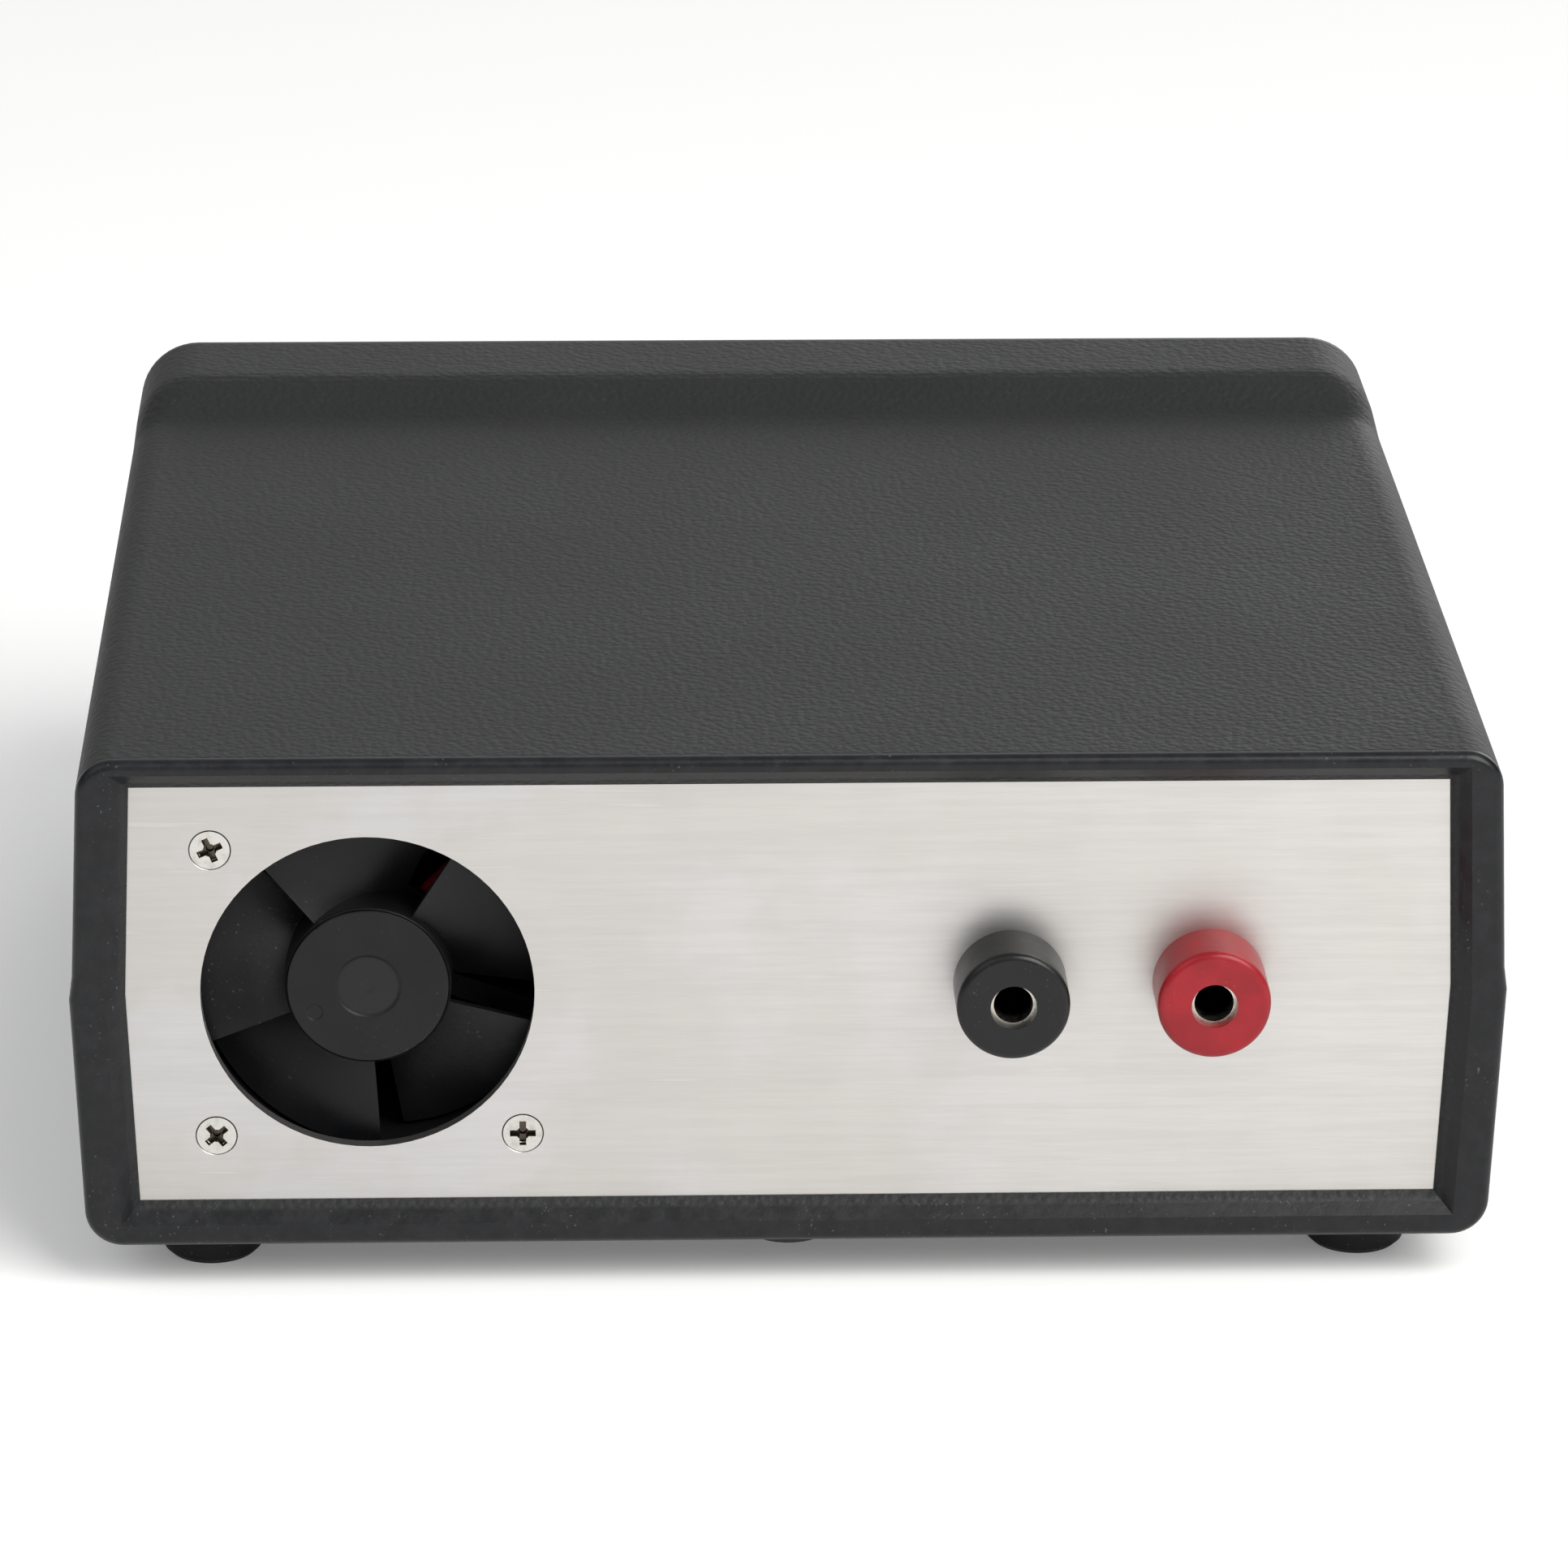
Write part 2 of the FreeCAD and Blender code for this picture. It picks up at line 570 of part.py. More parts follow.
def rear_panel():
    body = panel("rear_panel", "rear_height - rim_head", FACING_REAR, REAR_FACE)
    drill(body, "fan_opening", lambda sketch: draw_circle(sketch, f"-{FAN_X}", "fan_level", "fan_opening"))

    def sockets(sketch):
        for x in (BLACK_IN_X, RED_IN_X):
            draw_circle(sketch, f"-{x}", "socket_level", "socket_neck + bore_play")
    drill(body, "input_holes", sockets)

    def screws(sketch):
        for right, up, _ in fan_screw_spots():
            draw_circle(sketch, f"-{FAN_X} + {right} * fan_pitch / 2",
                        f"fan_level + {up} * fan_pitch / 2", "fan_screw + bore_play")
    drill(body, "fan_screw_holes", screws)
    radius = measure("fan_screw + bore_play")
    spots = [V(measure(f"-{FAN_X} + {right} * fan_pitch / 2"), measure(f"fan_level + {up} * fan_pitch / 2"), 0)
             for right, up, _ in fan_screw_spots()]
    soften(body, "fan_screw_head - fan_screw",
           lambda spot: abs(spot.z) < 0.01 and any((spot - s).Length < radius + 0.01 for s in spots), "Chamfer")


def front_panel():
    body = panel("front_panel", FRONT_HEAD, FACING_FRONT, FRONT_FACE)

    def round_holes(sketch):
        for x in (BLACK_OUT_X, RED_OUT_X):
            draw_circle(sketch, x, "out_level", "socket_neck + bore_play")
        for x in (VOLTAGE_X, CURRENT_X):
            draw_circle(sketch, x, "knob_level", "bush_radius + bore_play")
    drill(body, "front_holes", round_holes)

    def cutouts(sketch):
        draw_box(sketch, f"{WINDOW_X} - window_width / 2", f"{WINDOW_X} + window_width / 2",
                 "window_level - window_height / 2", "window_level + window_height / 2")
        draw_box(sketch, f"{SWITCH_X} - switch_width / 2 + 1", f"{SWITCH_X} + switch_width / 2 - 1",
                 "switch_level - switch_height / 2 + 1", "switch_level + switch_height / 2 - 1")
    drill(body, "front_cutouts", cutouts)


# ---------------------------------------------------------------- fan
FAN_SPOT = (FAN_X, REAR_FACE, level("fan_level"))
FAN_BACK = "(panel_thick + fan_depth)"


def fan_frame():
    """Square housing: round duct, corner holes, motor base on three struts, bearing tube."""
    body = new_body("fan_frame")
    outer = new_sketch(body, "XY_Plane", "fan_outside", "-panel_thick")
    draw_box(outer, "-fan_size / 2", "fan_size / 2", "-fan_size / 2", "fan_size / 2")
    pad(body, outer, "fan_depth", back=True)
    half = measure("fan_size / 2") - 0.01
    soften(body, "fan_corner", lambda spot: abs(spot.x) > half and abs(spot.y) > half)
    duct = new_sketch(body, "XY_Plane", "fan_duct", "-panel_thick")
    draw_circle(duct, "0", "0", "fan_bore")
    pocket(body, duct, "fan_depth")
    base = new_sketch(body, "XY_Plane", "fan_base", f"-{FAN_BACK}")
    draw_circle(base, "0", "0", "fan_base_radius")
    pad(body, base, "fan_base_thick")
    struts = new_sketch(body, "XY_Plane", "fan_struts", f"-{FAN_BACK}")
    draw_box(struts, "fan_base_radius - 1", "fan_bore + 0.4", "-1.2", "1.2")
    struts.AttachmentOffset = FreeCAD.Placement(
        struts.AttachmentOffset.Base, FreeCAD.Rotation(V(0, 0, 1), measure("strut_turn")))
    strut = pad(body, struts, "fan_base_thick")
    ring = body.newObject("PartDesign::PolarPattern", "fan_strut_ring")
    ring.Originals = [strut]
    ring.Axis = (struts, ["N_Axis"])
    ring.Angle = 360
    ring.Occurrences = 3
    body.Tip = ring
    doc.recompute()
    tube = new_sketch(body, "XY_Plane", "fan_tube", f"-{FAN_BACK}")
    draw_circle(tube, "0", "0", "fan_bearing_radius + fan_tube_wall")
    pad(body, tube, "fan_base_thick + 5.2")
    bore = new_sketch(body, "XY_Plane", "fan_tube_bore", f"-{FAN_BACK} + fan_base_thick / 2")
    draw_circle(bore, "0", "0", "fan_bearing_radius")
    pocket(body, bore, "fan_depth", back=True)
    holes = new_sketch(body, "XY_Plane", "fan_holes", "-panel_thick")
    for x in ("-fan_pitch / 2", "fan_pitch / 2"):
        for y in ("-fan_pitch / 2", "fan_pitch / 2"):
            draw_circle(holes, x, y, "fan_hole")
    pocket(body, holes, "fan_depth")
    return node("fan_frame", place(body, FAN_SPOT, FACING_REAR))


HUB_TOP = "(-panel_thick - hub_gap)"
BLADES = 5


def fan_rotor():
    """Hub cup with a shaft boss and five helical blades."""
    low = f"({HUB_TOP} - hub_length)"
    profile = [("fan_shaft_radius", HUB_TOP + " - 2.6"), ("fan_shaft_radius + 0.9", HUB_TOP + " - 2.6"),
               ("fan_shaft_radius + 0.9", HUB_TOP + " - 1.2"), ("hub_radius - hub_wall", HUB_TOP + " - 1.2"),
               ("hub_radius - hub_wall", low), ("hub_radius", low), ("hub_radius", HUB_TOP),
               ("0", HUB_TOP), ("0", HUB_TOP + " - 1"), ("fan_shaft_radius", HUB_TOP + " - 1")]
    body = turned("fan_rotor", profile, "YZ_Plane")
    top = measure(HUB_TOP)
    radius = measure("hub_radius")
    soften(body, "hub_round", lambda spot: abs(spot.z - top) < 0.01 and math.hypot(spot.x, spot.y) > radius - 0.1)
    blade = new_sketch(body, "XZ_Plane", "blade_section")
    start = f"({HUB_TOP} - hub_wall - blade_thick - blade_drop)"
    draw_box(blade, "hub_radius - 0.4", "fan_bore - tip_gap", start, f"{start} + blade_thick")
    sweep = body.newObject("PartDesign::AdditiveHelix", "blade_sweep")
    sweep.Profile = blade
    sweep.ReferenceAxis = (blade, ["V_Axis"])
    sweep.Mode = 0
    bind(sweep, Pitch="blade_drop * 360 / blade_span", Height="blade_drop")
    doc.recompute()
    axis_sketch = new_sketch(body, "XY_Plane", "hub_ring", HUB_TOP)
    ring = body.newObject("PartDesign::PolarPattern", "blade_ring")
    ring.Originals = [sweep]
    ring.Axis = (axis_sketch, ["N_Axis"])
    ring.Angle = 360
    ring.Occurrences = BLADES
    body.Tip = ring
    doc.recompute()
    turn = FACING_REAR.multiply(FreeCAD.Rotation(V(0, 0, 1), measure("blade_phase")))
    return node("fan_rotor", place(body, FAN_SPOT, turn))


def fan_motor():
    """Magnet ring and shaft that turn, bearing, laminated core, coils and board that don't."""
    inner = "(hub_radius - hub_wall)"
    low = f"({HUB_TOP} - 1.3 - magnet_length)"
    magnet = turned("fan_magnet", tube_profile(f"{inner} - magnet_thick", inner, low, f"{low} + magnet_length"))
    node("fan_magnet", place(magnet, FAN_SPOT, FACING_REAR))
    shaft_end = f"(-{FAN_BACK} + fan_base_thick / 2 + 0.3)"
    shaft = turned("fan_shaft", [("0", shaft_end), ("fan_shaft_radius", shaft_end),
                                 ("fan_shaft_radius", HUB_TOP + " - 1"), ("0", HUB_TOP + " - 1")])
    node("fan_shaft", place(shaft, FAN_SPOT, FACING_REAR))
    low = f"(-{FAN_BACK} + fan_base_thick / 2 + 0.6)"
    bearing = turned("fan_bearing", tube_profile("fan_shaft_radius + running_gap", "fan_bearing_radius",
                                                 low, f"{low} + 4.4"))
    node("fan_bearing", place(bearing, FAN_SPOT, FACING_REAR))
    bore = "(fan_bearing_radius + fan_tube_wall)"
    deck = f"(-{FAN_BACK} + fan_base_thick)"
    board = turned("fan_board", tube_profile(f"{bore} + 0.1", "hub_radius - hub_wall - 0.6", deck, f"{deck} + 0.8"))
    node("fan_board", place(board, FAN_SPOT, FACING_REAR))
    reach = f"({inner} - magnet_thick - 0.4)"
    core = turned("fan_core", tube_profile(bore, f"{bore} + 0.8", f"{deck} + 1.6", f"{deck} + 3.6"))
    pole = new_sketch(core, "XY_Plane", "pole_section", f"{deck} + 1.6")
    draw_box(pole, f"{bore} + 0.4", f"{reach} - 0.6", "-0.5", "0.5")
    arm = pad(core, pole, "2")
    shoe_sketch = new_sketch(core, "XY_Plane", "shoe_section", f"{deck} + 1.6")
    draw_box(shoe_sketch, f"{reach} - 0.8", f"{reach} - 0.2", "-1.6", "1.6")
    shoe = pad(core, shoe_sketch, "2")
    ring = core.newObject("PartDesign::PolarPattern", "pole_ring")
    ring.Originals = [arm, shoe]
    ring.Axis = (pole, ["N_Axis"])
    ring.Angle = 360
    ring.Occurrences = 4
    core.Tip = ring
    doc.recompute()
    node("fan_core", place(core, FAN_SPOT, FACING_REAR))
    coils = []
    for quarter in range(4):
        turn = FACING_REAR.multiply(FreeCAD.Rotation(V(0, 0, 1), 90 * quarter))
        middle = f"({bore} + 0.95)"
        sizes_of_coil = ((("0.9"), "1.9", "3.2"), (("0.9"), "1.1", "2.2"))
        boxes = []
        for length, width, height in sizes_of_coil:
            box = doc.addObject("Part::Box", "coil_side")
            bind(box, Length=length, Width=width, Height=height)
            shift = turn.multVec(V(measure(middle), -measure(width) / 2,
                                   measure(f"{deck} + 2.6") - measure(height) / 2))
            place(box, (f"{FAN_SPOT[0]} + {shift.x}", f"{FAN_SPOT[1]} + {shift.y}", f"{FAN_SPOT[2]} + {shift.z}"), turn)
            boxes.append(box)
        coils.append(cut(boxes[0], boxes[1]))
    group("fan_coils", coils)


def fan_fasteners():
    """Three countersunk machine screws through panel and fan, and their nuts."""
    screws = []
    nuts = []
    for right, up, angle in fan_screw_spots():
        x = f"({FAN_X} - {right} * fan_pitch / 2)"
        z = level(f"fan_level + {up} * fan_pitch / 2")
        height = "(fan_screw_head - fan_screw)"
        head = doc.addObject("Part::Cone", "head")
        bind(head, Radius1="fan_screw", Radius2="fan_screw_head - 0.05", Height=height)
        place(head, (x, f"{REAR_FACE} - {height}", z), FACING_REAR)
        shank = cylinder("fan_screw", f"fan_screw_length - {height}", (x, f"{REAR_FACE} - fan_screw_length", z), FACING_REAR)
        recess = cross_recess((x, REAR_FACE), z, FACING_REAR, angle, "cross_length")
        screws.append(cut(fused(head, shank), recess))
        blank = doc.addObject("Part::Prism", "nut")
        blank.Polygon = 6
        bind(blank, Circumradius="nut_radius", Height="nut_height")
        place(blank, (x, f"{REAR_FACE} - {FAN_BACK} - nut_height", z), FACING_REAR)
        hole = cylinder("fan_screw + running_gap", "nut_height", (x, f"{REAR_FACE} - {FAN_BACK} - nut_height", z), FACING_REAR)
        nuts.append(cut(blank, hole))
    group("fan_screws", screws)
    group("fan_nuts", nuts)


# ---------------------------------------------------------------- sockets
def panel_sockets():
    """Four panel sockets for 4 mm plugs: moulded collar, metal sleeve, ring and nut."""
    sets = (("input_socket_black", BLACK_IN_X, "socket_level", REAR_FACE, FACING_REAR),
            ("input_socket_red", RED_IN_X, "socket_level", REAR_FACE, FACING_REAR),
            ("output_socket_black", BLACK_OUT_X, "out_level", FRONT_FACE, FACING_FRONT),
            ("output_socket_red", RED_OUT_X, "out_level", FRONT_FACE, FACING_FRONT))
    mouth = "(socket_stand - socket_sink)"
    tail = f"({mouth} - sleeve_depth)"
    behind = "(-panel_thick - ring_thick)"
    rings = []
    nuts = []
    for name, x, height, y, facing in sets:
        spot = (x, y, level(height))
        collar = turned(name, [("sleeve_outer", behind), ("socket_neck", behind), ("socket_neck", "0"),
                               ("socket_radius", "0"), ("socket_radius", "socket_stand"),
                               ("sleeve_outer", "socket_stand")])
        stand = measure("socket_stand")
        wide = measure("socket_radius") - 0.1
        soften(collar, "socket_round", lambda spot: abs(spot.z - stand) < 0.01 and math.hypot(spot.x, spot.y) > wide)
        node(name, place(collar, spot, facing))
        sleeve = turned(f"{name}_sleeve", [("0", f"{tail} - sleeve_end"), ("sleeve_outer", f"{tail} - sleeve_end"),
                                           ("sleeve_outer", mouth), ("sleeve_bore", mouth),
                                           ("sleeve_bore", tail), ("0", tail)])
        node(f"{name}_sleeve", place(sleeve, spot, facing))
        ring = turned(f"{name}_ring", tube_profile("socket_neck + bore_play", "ring_radius", behind, "-panel_thick"))
        rings.append(place(ring, spot, facing))
        inward = facing.multVec(V(0, 0, 1)).y
        back = f"{y} + {inward} * ({behind} - big_nut_height)"
        blank = doc.addObject("Part::Prism", "nut")
        blank.Polygon = 6
        bind(blank, Circumradius="big_nut", Height="big_nut_height")
        place(blank, (x, back, level(height)), facing)
        hole = cylinder("sleeve_outer + running_gap", "big_nut_height", (x, back, level(height)), facing)
        nuts.append(cut(blank, hole))
    group("socket_rings", rings)
    group("socket_nuts", nuts)


# ---------------------------------------------------------------- controls
def knob(name, x):
    """Fluted knob with a pointer line, hollow behind so that it clears the nut."""
    low = "knob_gap"
    web = "(bush_length - panel_thick + knob_clear)"
    top = "(knob_gap + knob_height)"
    profile = [("pot_shaft", web), ("knob_radius - knob_wall", web),
               ("knob_radius - knob_wall", low), ("knob_radius", low), ("knob_radius", "knob_gap + 1.5"),
               ("knob_radius - 1", "knob_gap + 2.5"), ("knob_radius - 1.6", top), ("0", top),
               ("0", "shaft_reach"), ("pot_shaft", "shaft_reach")]
    body = turned(name, profile)
    height = measure(top)
    soften(body, "0.8", lambda spot: abs(spot.z - height) < 0.01 and math.hypot(spot.x, spot.y) > 5)
    flute = new_sketch(body, "XY_Plane", f"{name}_flute", web)
    draw_circle(flute, "knob_radius - 0.9", "0", "flute_radius")
    groove = pocket(body, flute, "knob_height", back=True)
    ring = body.newObject("PartDesign::PolarPattern", f"{name}_flutes")
    ring.Originals = [groove]
    ring.Axis = (flute, ["N_Axis"])
    ring.Angle = 360
    ring.Occurrences = 18
    body.Tip = ring
    doc.recompute()
    line = new_sketch(body, "XY_Plane", f"{name}_pointer", top)
    draw_box(line, "-0.5", "0.5", "2.4", "knob_radius")
    pocket(body, line, "0.6")
    spot = (x, FRONT_FACE, level("knob_level"))
    return node(name, place(body, spot, FACING_FRONT))


def potentiometers():
    """Two rotary controls: body with threaded bush and tags, shaft, nut and knob."""
    nuts = []
    for name, x in (("voltage", VOLTAGE_X), ("current", CURRENT_X)):
        spot = (x, FRONT_FACE, level("knob_level"))
        back = "(-panel_thick - pot_depth)"
        case = turned(f"{name}_pot", [("pot_shaft + running_gap", f"{back} + 1.5"), ("0", f"{back} + 1.5"), ("0", back),
                                      ("pot_radius", back), ("pot_radius", "-panel_thick"),
                                      ("bush_radius", "-panel_thick"), ("bush_radius", "bush_length - panel_thick"),
                                      ("pot_shaft + running_gap", "bush_length - panel_thick")])
        tags = new_sketch(case, "XY_Plane", f"{name}_tags", f"{back} + 2")
        for step in (-1, 0, 1):
            draw_box(tags, f"{step} * 5 - 1", f"{step} * 5 + 1", "-pot_radius - 5", "-pot_radius + 4")
        pad(case, tags, "1")
        node(f"{name}_pot", place(case, spot, FACING_FRONT))
        shaft = turned(f"{name}_pot_shaft", [("0", f"{back} + 1.8"), ("pot_shaft", f"{back} + 1.8"),
                                             ("pot_shaft", "shaft_reach"), ("0", "shaft_reach")])
        node(f"{name}_pot_shaft", place(shaft, spot, FACING_FRONT))
        knob(f"{name}_knob", x)
        blank = doc.addObject("Part::Prism", "nut")
        blank.Polygon = 6
        bind(blank, Circumradius="pot_nut", Height="pot_nut_height")
        place(blank, spot, FACING_FRONT)
        hole = cylinder("bush_radius + running_gap", "pot_nut_height", spot, FACING_FRONT)
        nuts.append(cut(blank, hole))
    group("pot_nuts", nuts)


def power_switch():
    """Rocker switch: bezel and box with tabs, and a rocker on two trunnions."""
    spot = (SWITCH_X, FRONT_FACE, level("switch_level"))
    case = new_body("power_switch_body")
    bezel = new_sketch(case, "XY_Plane", "switch_bezel_outline")
    draw_box(bezel, "-switch_width / 2", "switch_width / 2", "-switch_height / 2", "switch_height / 2")
    pad(case, bezel, "switch_bezel")
    top = measure("switch_bezel")
    soften(case, "0.7", lambda spot: abs(spot.z - top) < 0.01)
    box = new_sketch(case, "XY_Plane", "switch_box")
    half_x = "(switch_width / 2 - 1.1)"
    half_y = "(switch_height / 2 - 1.1)"
    draw_box(box, f"-{half_x}", half_x, f"-{half_y}", half_y)
    pad(case, box, "switch_depth", back=True)
    well = new_sketch(case, "XY_Plane", "switch_well", "switch_bezel")
    draw_box(well, "-(switch_width / 2 - switch_wall)", "switch_width / 2 - switch_wall",
             "-(switch_height / 2 - switch_wall)", "switch_height / 2 - switch_wall")
    pocket(case, well, "switch_bezel + 9")
    pivot = new_sketch(case, "YZ_Plane", "switch_pivot_holes")
    draw_circle(pivot, "0", "-1.5", "rocker_pivot + running_gap")
    pocket(case, pivot, "switch_width - 2 * switch_wall + 1.6", middle=True)
    tabs = new_sketch(case, "XY_Plane", "switch_tabs", "-switch_depth")
    for step in (-1, 1):
        draw_box(tabs, "-2.4", "2.4", f"{step} * 5 - 0.4", f"{step} * 5 + 0.4")
    pad(case, tabs, "6", back=True)
    node("power_switch_body", place(case, spot, FACING_FRONT))
    rocker = new_body("power_switch_rocker")
    profile = new_sketch(rocker, "YZ_Plane", "rocker_profile")
    half = "(switch_height / 2 - switch_wall - rocker_gap - 1.2)"
    draw_outline(profile, [(f"-{half}", "-2"), ("-2.6", "-4.5"), ("2.6", "-4.5"), (half, "-2"), (half, "3.6"),
                           ("0", "1.5"), (f"-{half}", "3.6")])
    pad(rocker, profile, "switch_width - 2 * switch_wall - 2 * rocker_gap", middle=True)
    soften(rocker, "0.6", lambda spot: spot.z > 1.4)
    trunnion = new_sketch(rocker, "YZ_Plane", "rocker_trunnions")
    draw_circle(trunnion, "0", "-1.5", "rocker_pivot")
    pad(rocker, trunnion, "switch_width - 2 * switch_wall + 1.2", middle=True)
    tilt = measure("rocker_tilt")
    arm = V(0, 0, -1.5)
    turn = FACING_FRONT.multiply(FreeCAD.Rotation(V(1, 0, 0), tilt))
    shift = FACING_FRONT.multVec(arm) - turn.multVec(arm)
    tilted = (f"{spot[0]} + {shift.x}", f"{spot[1]} + {shift.y}", f"{spot[2]} + {shift.z}")
    node("power_switch_rocker", place(rocker, tilted, turn))


def display():
    """Tinted window in the panel, two digit blocks behind it, on an upright board."""
    spot = (WINDOW_X, FRONT_FACE, level("window_level"))
    pane = new_body("display_window")
    clear = new_sketch(pane, "XY_Plane", "pane_outline", "0.5")
    draw_box(clear, "-window_width / 2 + slot_play", "window_width / 2 - slot_play",
             "-window_height / 2 + slot_play", "window_height / 2 - slot_play")
    pad(pane, clear, "panel_thick + 0.5", back=True)
    flange = new_sketch(pane, "XY_Plane", "pane_flange", "-panel_thick")
    draw_box(flange, "-window_width / 2 - window_rim", "window_width / 2 + window_rim",
             "-window_height / 2 - window_rim", "window_height / 2 + window_rim")
    pad(pane, flange, "1", back=True)
    node("display_window", place(pane, spot, FACING_FRONT))
    front = "(panel_thick + 1.4)"
    for name, side in (("voltage", "-1"), ("current", "1")):
        x = f"({WINDOW_X} + {side} * (digit_width / 2 + 0.8))"
        node(f"{name}_digits", block(
            (f"{x} - digit_width / 2", f"{x} + digit_width / 2"),
            (f"{FRONT_FACE} + {front}", f"{FRONT_FACE} + {front} + digit_depth"),
            (level("window_level - digit_height / 2"), level("window_level + digit_height / 2"))))
    node("display_board", block(
        (f"{WINDOW_X} - window_width / 2", f"{WINDOW_X} + window_width / 2"),
        (f"{FRONT_FACE} + {front} + digit_depth", f"{FRONT_FACE} + {front} + digit_depth + display_board_thick"),
        (level("window_level - window_height / 2 - 2"), level("window_level + window_height / 2"))))


# ---------------------------------------------------------------- electronics
def converter_board():
    """The board that converts the input voltage, on the tray's four bosses."""
    plate = block(("board_left", "board_right"), (BOARD_FRONT, BOARD_REAR), (BOARD_LOW, BOARD_TOP))
    holes = []
    board_spots(lambda x, y: holes.append(
        cylinder("boss_hole + bore_play", "board_thick", (x, f"{REAR_RIM} + ({y})", BOARD_LOW))))
    node("converter_board", cut(plate, *holes))
    screws = []
    for hole_x, hole_y in fixing_spots():
        head = cylinder("pan_head", "pan_height", (hole_x, hole_y, BOARD_TOP))
        shank = cylinder("boss_hole - bore_play", "board_thick + board_rise - 1",
                         (hole_x, hole_y, f"{BOARD_TOP} - board_thick - board_rise + 1"))
        slot = cross_recess((hole_x, hole_y), f"{BOARD_TOP} + pan_height", UPRIGHT, 20, "cross_length")
        screws.append(cut(fused(head, shank), slot))
    group("board_screws", screws)


def fixing_spots():
    spots = []
    board_spots(lambda x, y: spots.append((x, f"{REAR_RIM} + ({y})")))
    return spots


SINK_X = "(board_right - 5 - fin_length - sink_base)"
SINK_LENGTH = f"({BOARD_REAR} - {BOARD_FRONT} - 2 * sink_margin)"
FINS = 6


def heat_sink():
    """Upright extruded heat sink, its fins along the air stream."""
    low = f"({BOARD_FRONT} + sink_margin)"
    high = f"({BOARD_REAR} - sink_margin)"
    pieces = [block((SINK_X, f"{SINK_X} + sink_base"), (low, high), (BOARD_TOP, f"{BOARD_TOP} + sink_height"))]
    for fin in range(FINS):
        start = f"({BOARD_TOP} + 1.5 + {fin} * fin_pitch)"
        pieces.append(block((f"{SINK_X} + sink_base - 0.5", f"{SINK_X} + sink_base + fin_length"),
                            (low, high), (start, f"{start} + fin_thick")))
    node("heat_sink", fused(*pieces))
    transistors = []
    for step in (-1, 1):
        y = f"({BOARD_MIDDLE} + {step} * 9)"
        body = block((f"{SINK_X} - 4.6", f"{SINK_X} - 1.3"), (f"{y} - 5", f"{y} + 5"),
                     (f"{BOARD_TOP} + 5", f"{BOARD_TOP} + 14"))
        tab = block((f"{SINK_X} - 1.3", SINK_X), (f"{y} - 5", f"{y} + 5"),
                    (f"{BOARD_TOP} + 5", f"{BOARD_TOP} + 20"))
        hole = cylinder("1.7", "1.3", (f"{SINK_X} - 1.3", y, f"{BOARD_TOP} + 17"),
                        FreeCAD.Rotation(V(0, 1, 0), 90))
        legs = [block((f"{SINK_X} - 3", f"{SINK_X} - 2.4"), (f"{y} + {leg} * 2.54 - 0.4", f"{y} + {leg} * 2.54 + 0.4"),
                      (BOARD_TOP, f"{BOARD_TOP} + 5.5")) for leg in (-1, 0, 1)]
        transistors.append(cut(fused(body, tab, *legs), hole))
    group("power_transistors", transistors)


COIL_X = "(board_left + 43)"
COIL_TURNS = 16


def inductor():
    """Toroidal core lying on the board, with separate closed turns of enamelled wire."""
    spot = (COIL_X, BOARD_MIDDLE, f"{BOARD_TOP} + 2.4")
    core = turned("inductor_core", tube_profile("core_inner", "core_outer", "0", "core_height"))
    node("inductor_core", place(core, spot))
    turns = []
    gap = "(coil_wire + 0.15)"
    for number in range(COIL_TURNS):
        angle = 360 * number / COIL_TURNS
        spin = FreeCAD.Rotation(V(0, 0, 1), angle)
        boxes = []
        for grow in (f"({gap} + coil_wire)", "(coil_wire * 0.4)"):
            box = doc.addObject("Part::Box", "turn_side")
            bind(box, Length=f"core_outer - core_inner + 2 * {grow}", Width="2 * coil_wire",
                 Height=f"core_height + 2 * {grow}")
            shift = spin.multVec(V(measure(f"core_inner - {grow}"), -measure("coil_wire"), -measure(grow)))
            place(box, (f"{spot[0]} + {shift.x}", f"{spot[1]} + {shift.y}", f"{spot[2]} + {shift.z}"), spin)
            boxes.append(box)
        turns.append(cut(*boxes))
    group("inductor_winding", turns)


CAPACITOR_X = "(board_left + 18)"


def filter_capacitors():
    cans = []
    for step in (-1, 1):
        y = f"({BOARD_MIDDLE} + {step} * (capacitor_radius + 0.8))"
        can = turned(f"capacitor_{step + 1}", [
            ("0", "0"), ("capacitor_radius", "0"), ("capacitor_radius", "1.6"), ("capacitor_radius - 0.5", "2.1"),
            ("capacitor_radius - 0.5", "2.7"), ("capacitor_radius", "3.2"),
            ("capacitor_radius", "capacitor_height - 0.6"), ("capacitor_radius - 0.6", "capacitor_height"),
            ("capacitor_radius - 1.4", "capacitor_height"), ("capacitor_radius - 1.6", "capacitor_height - 0.3"),
            ("0", "capacitor_height - 0.3")])
        cans.append(place(can, (CAPACITOR_X, y, BOARD_TOP)))
    group("filter_capacitors", cans)


TERMINAL_IN_X = COIL_X
TERMINAL_OUT_X = f"({COIL_X} + 2)"


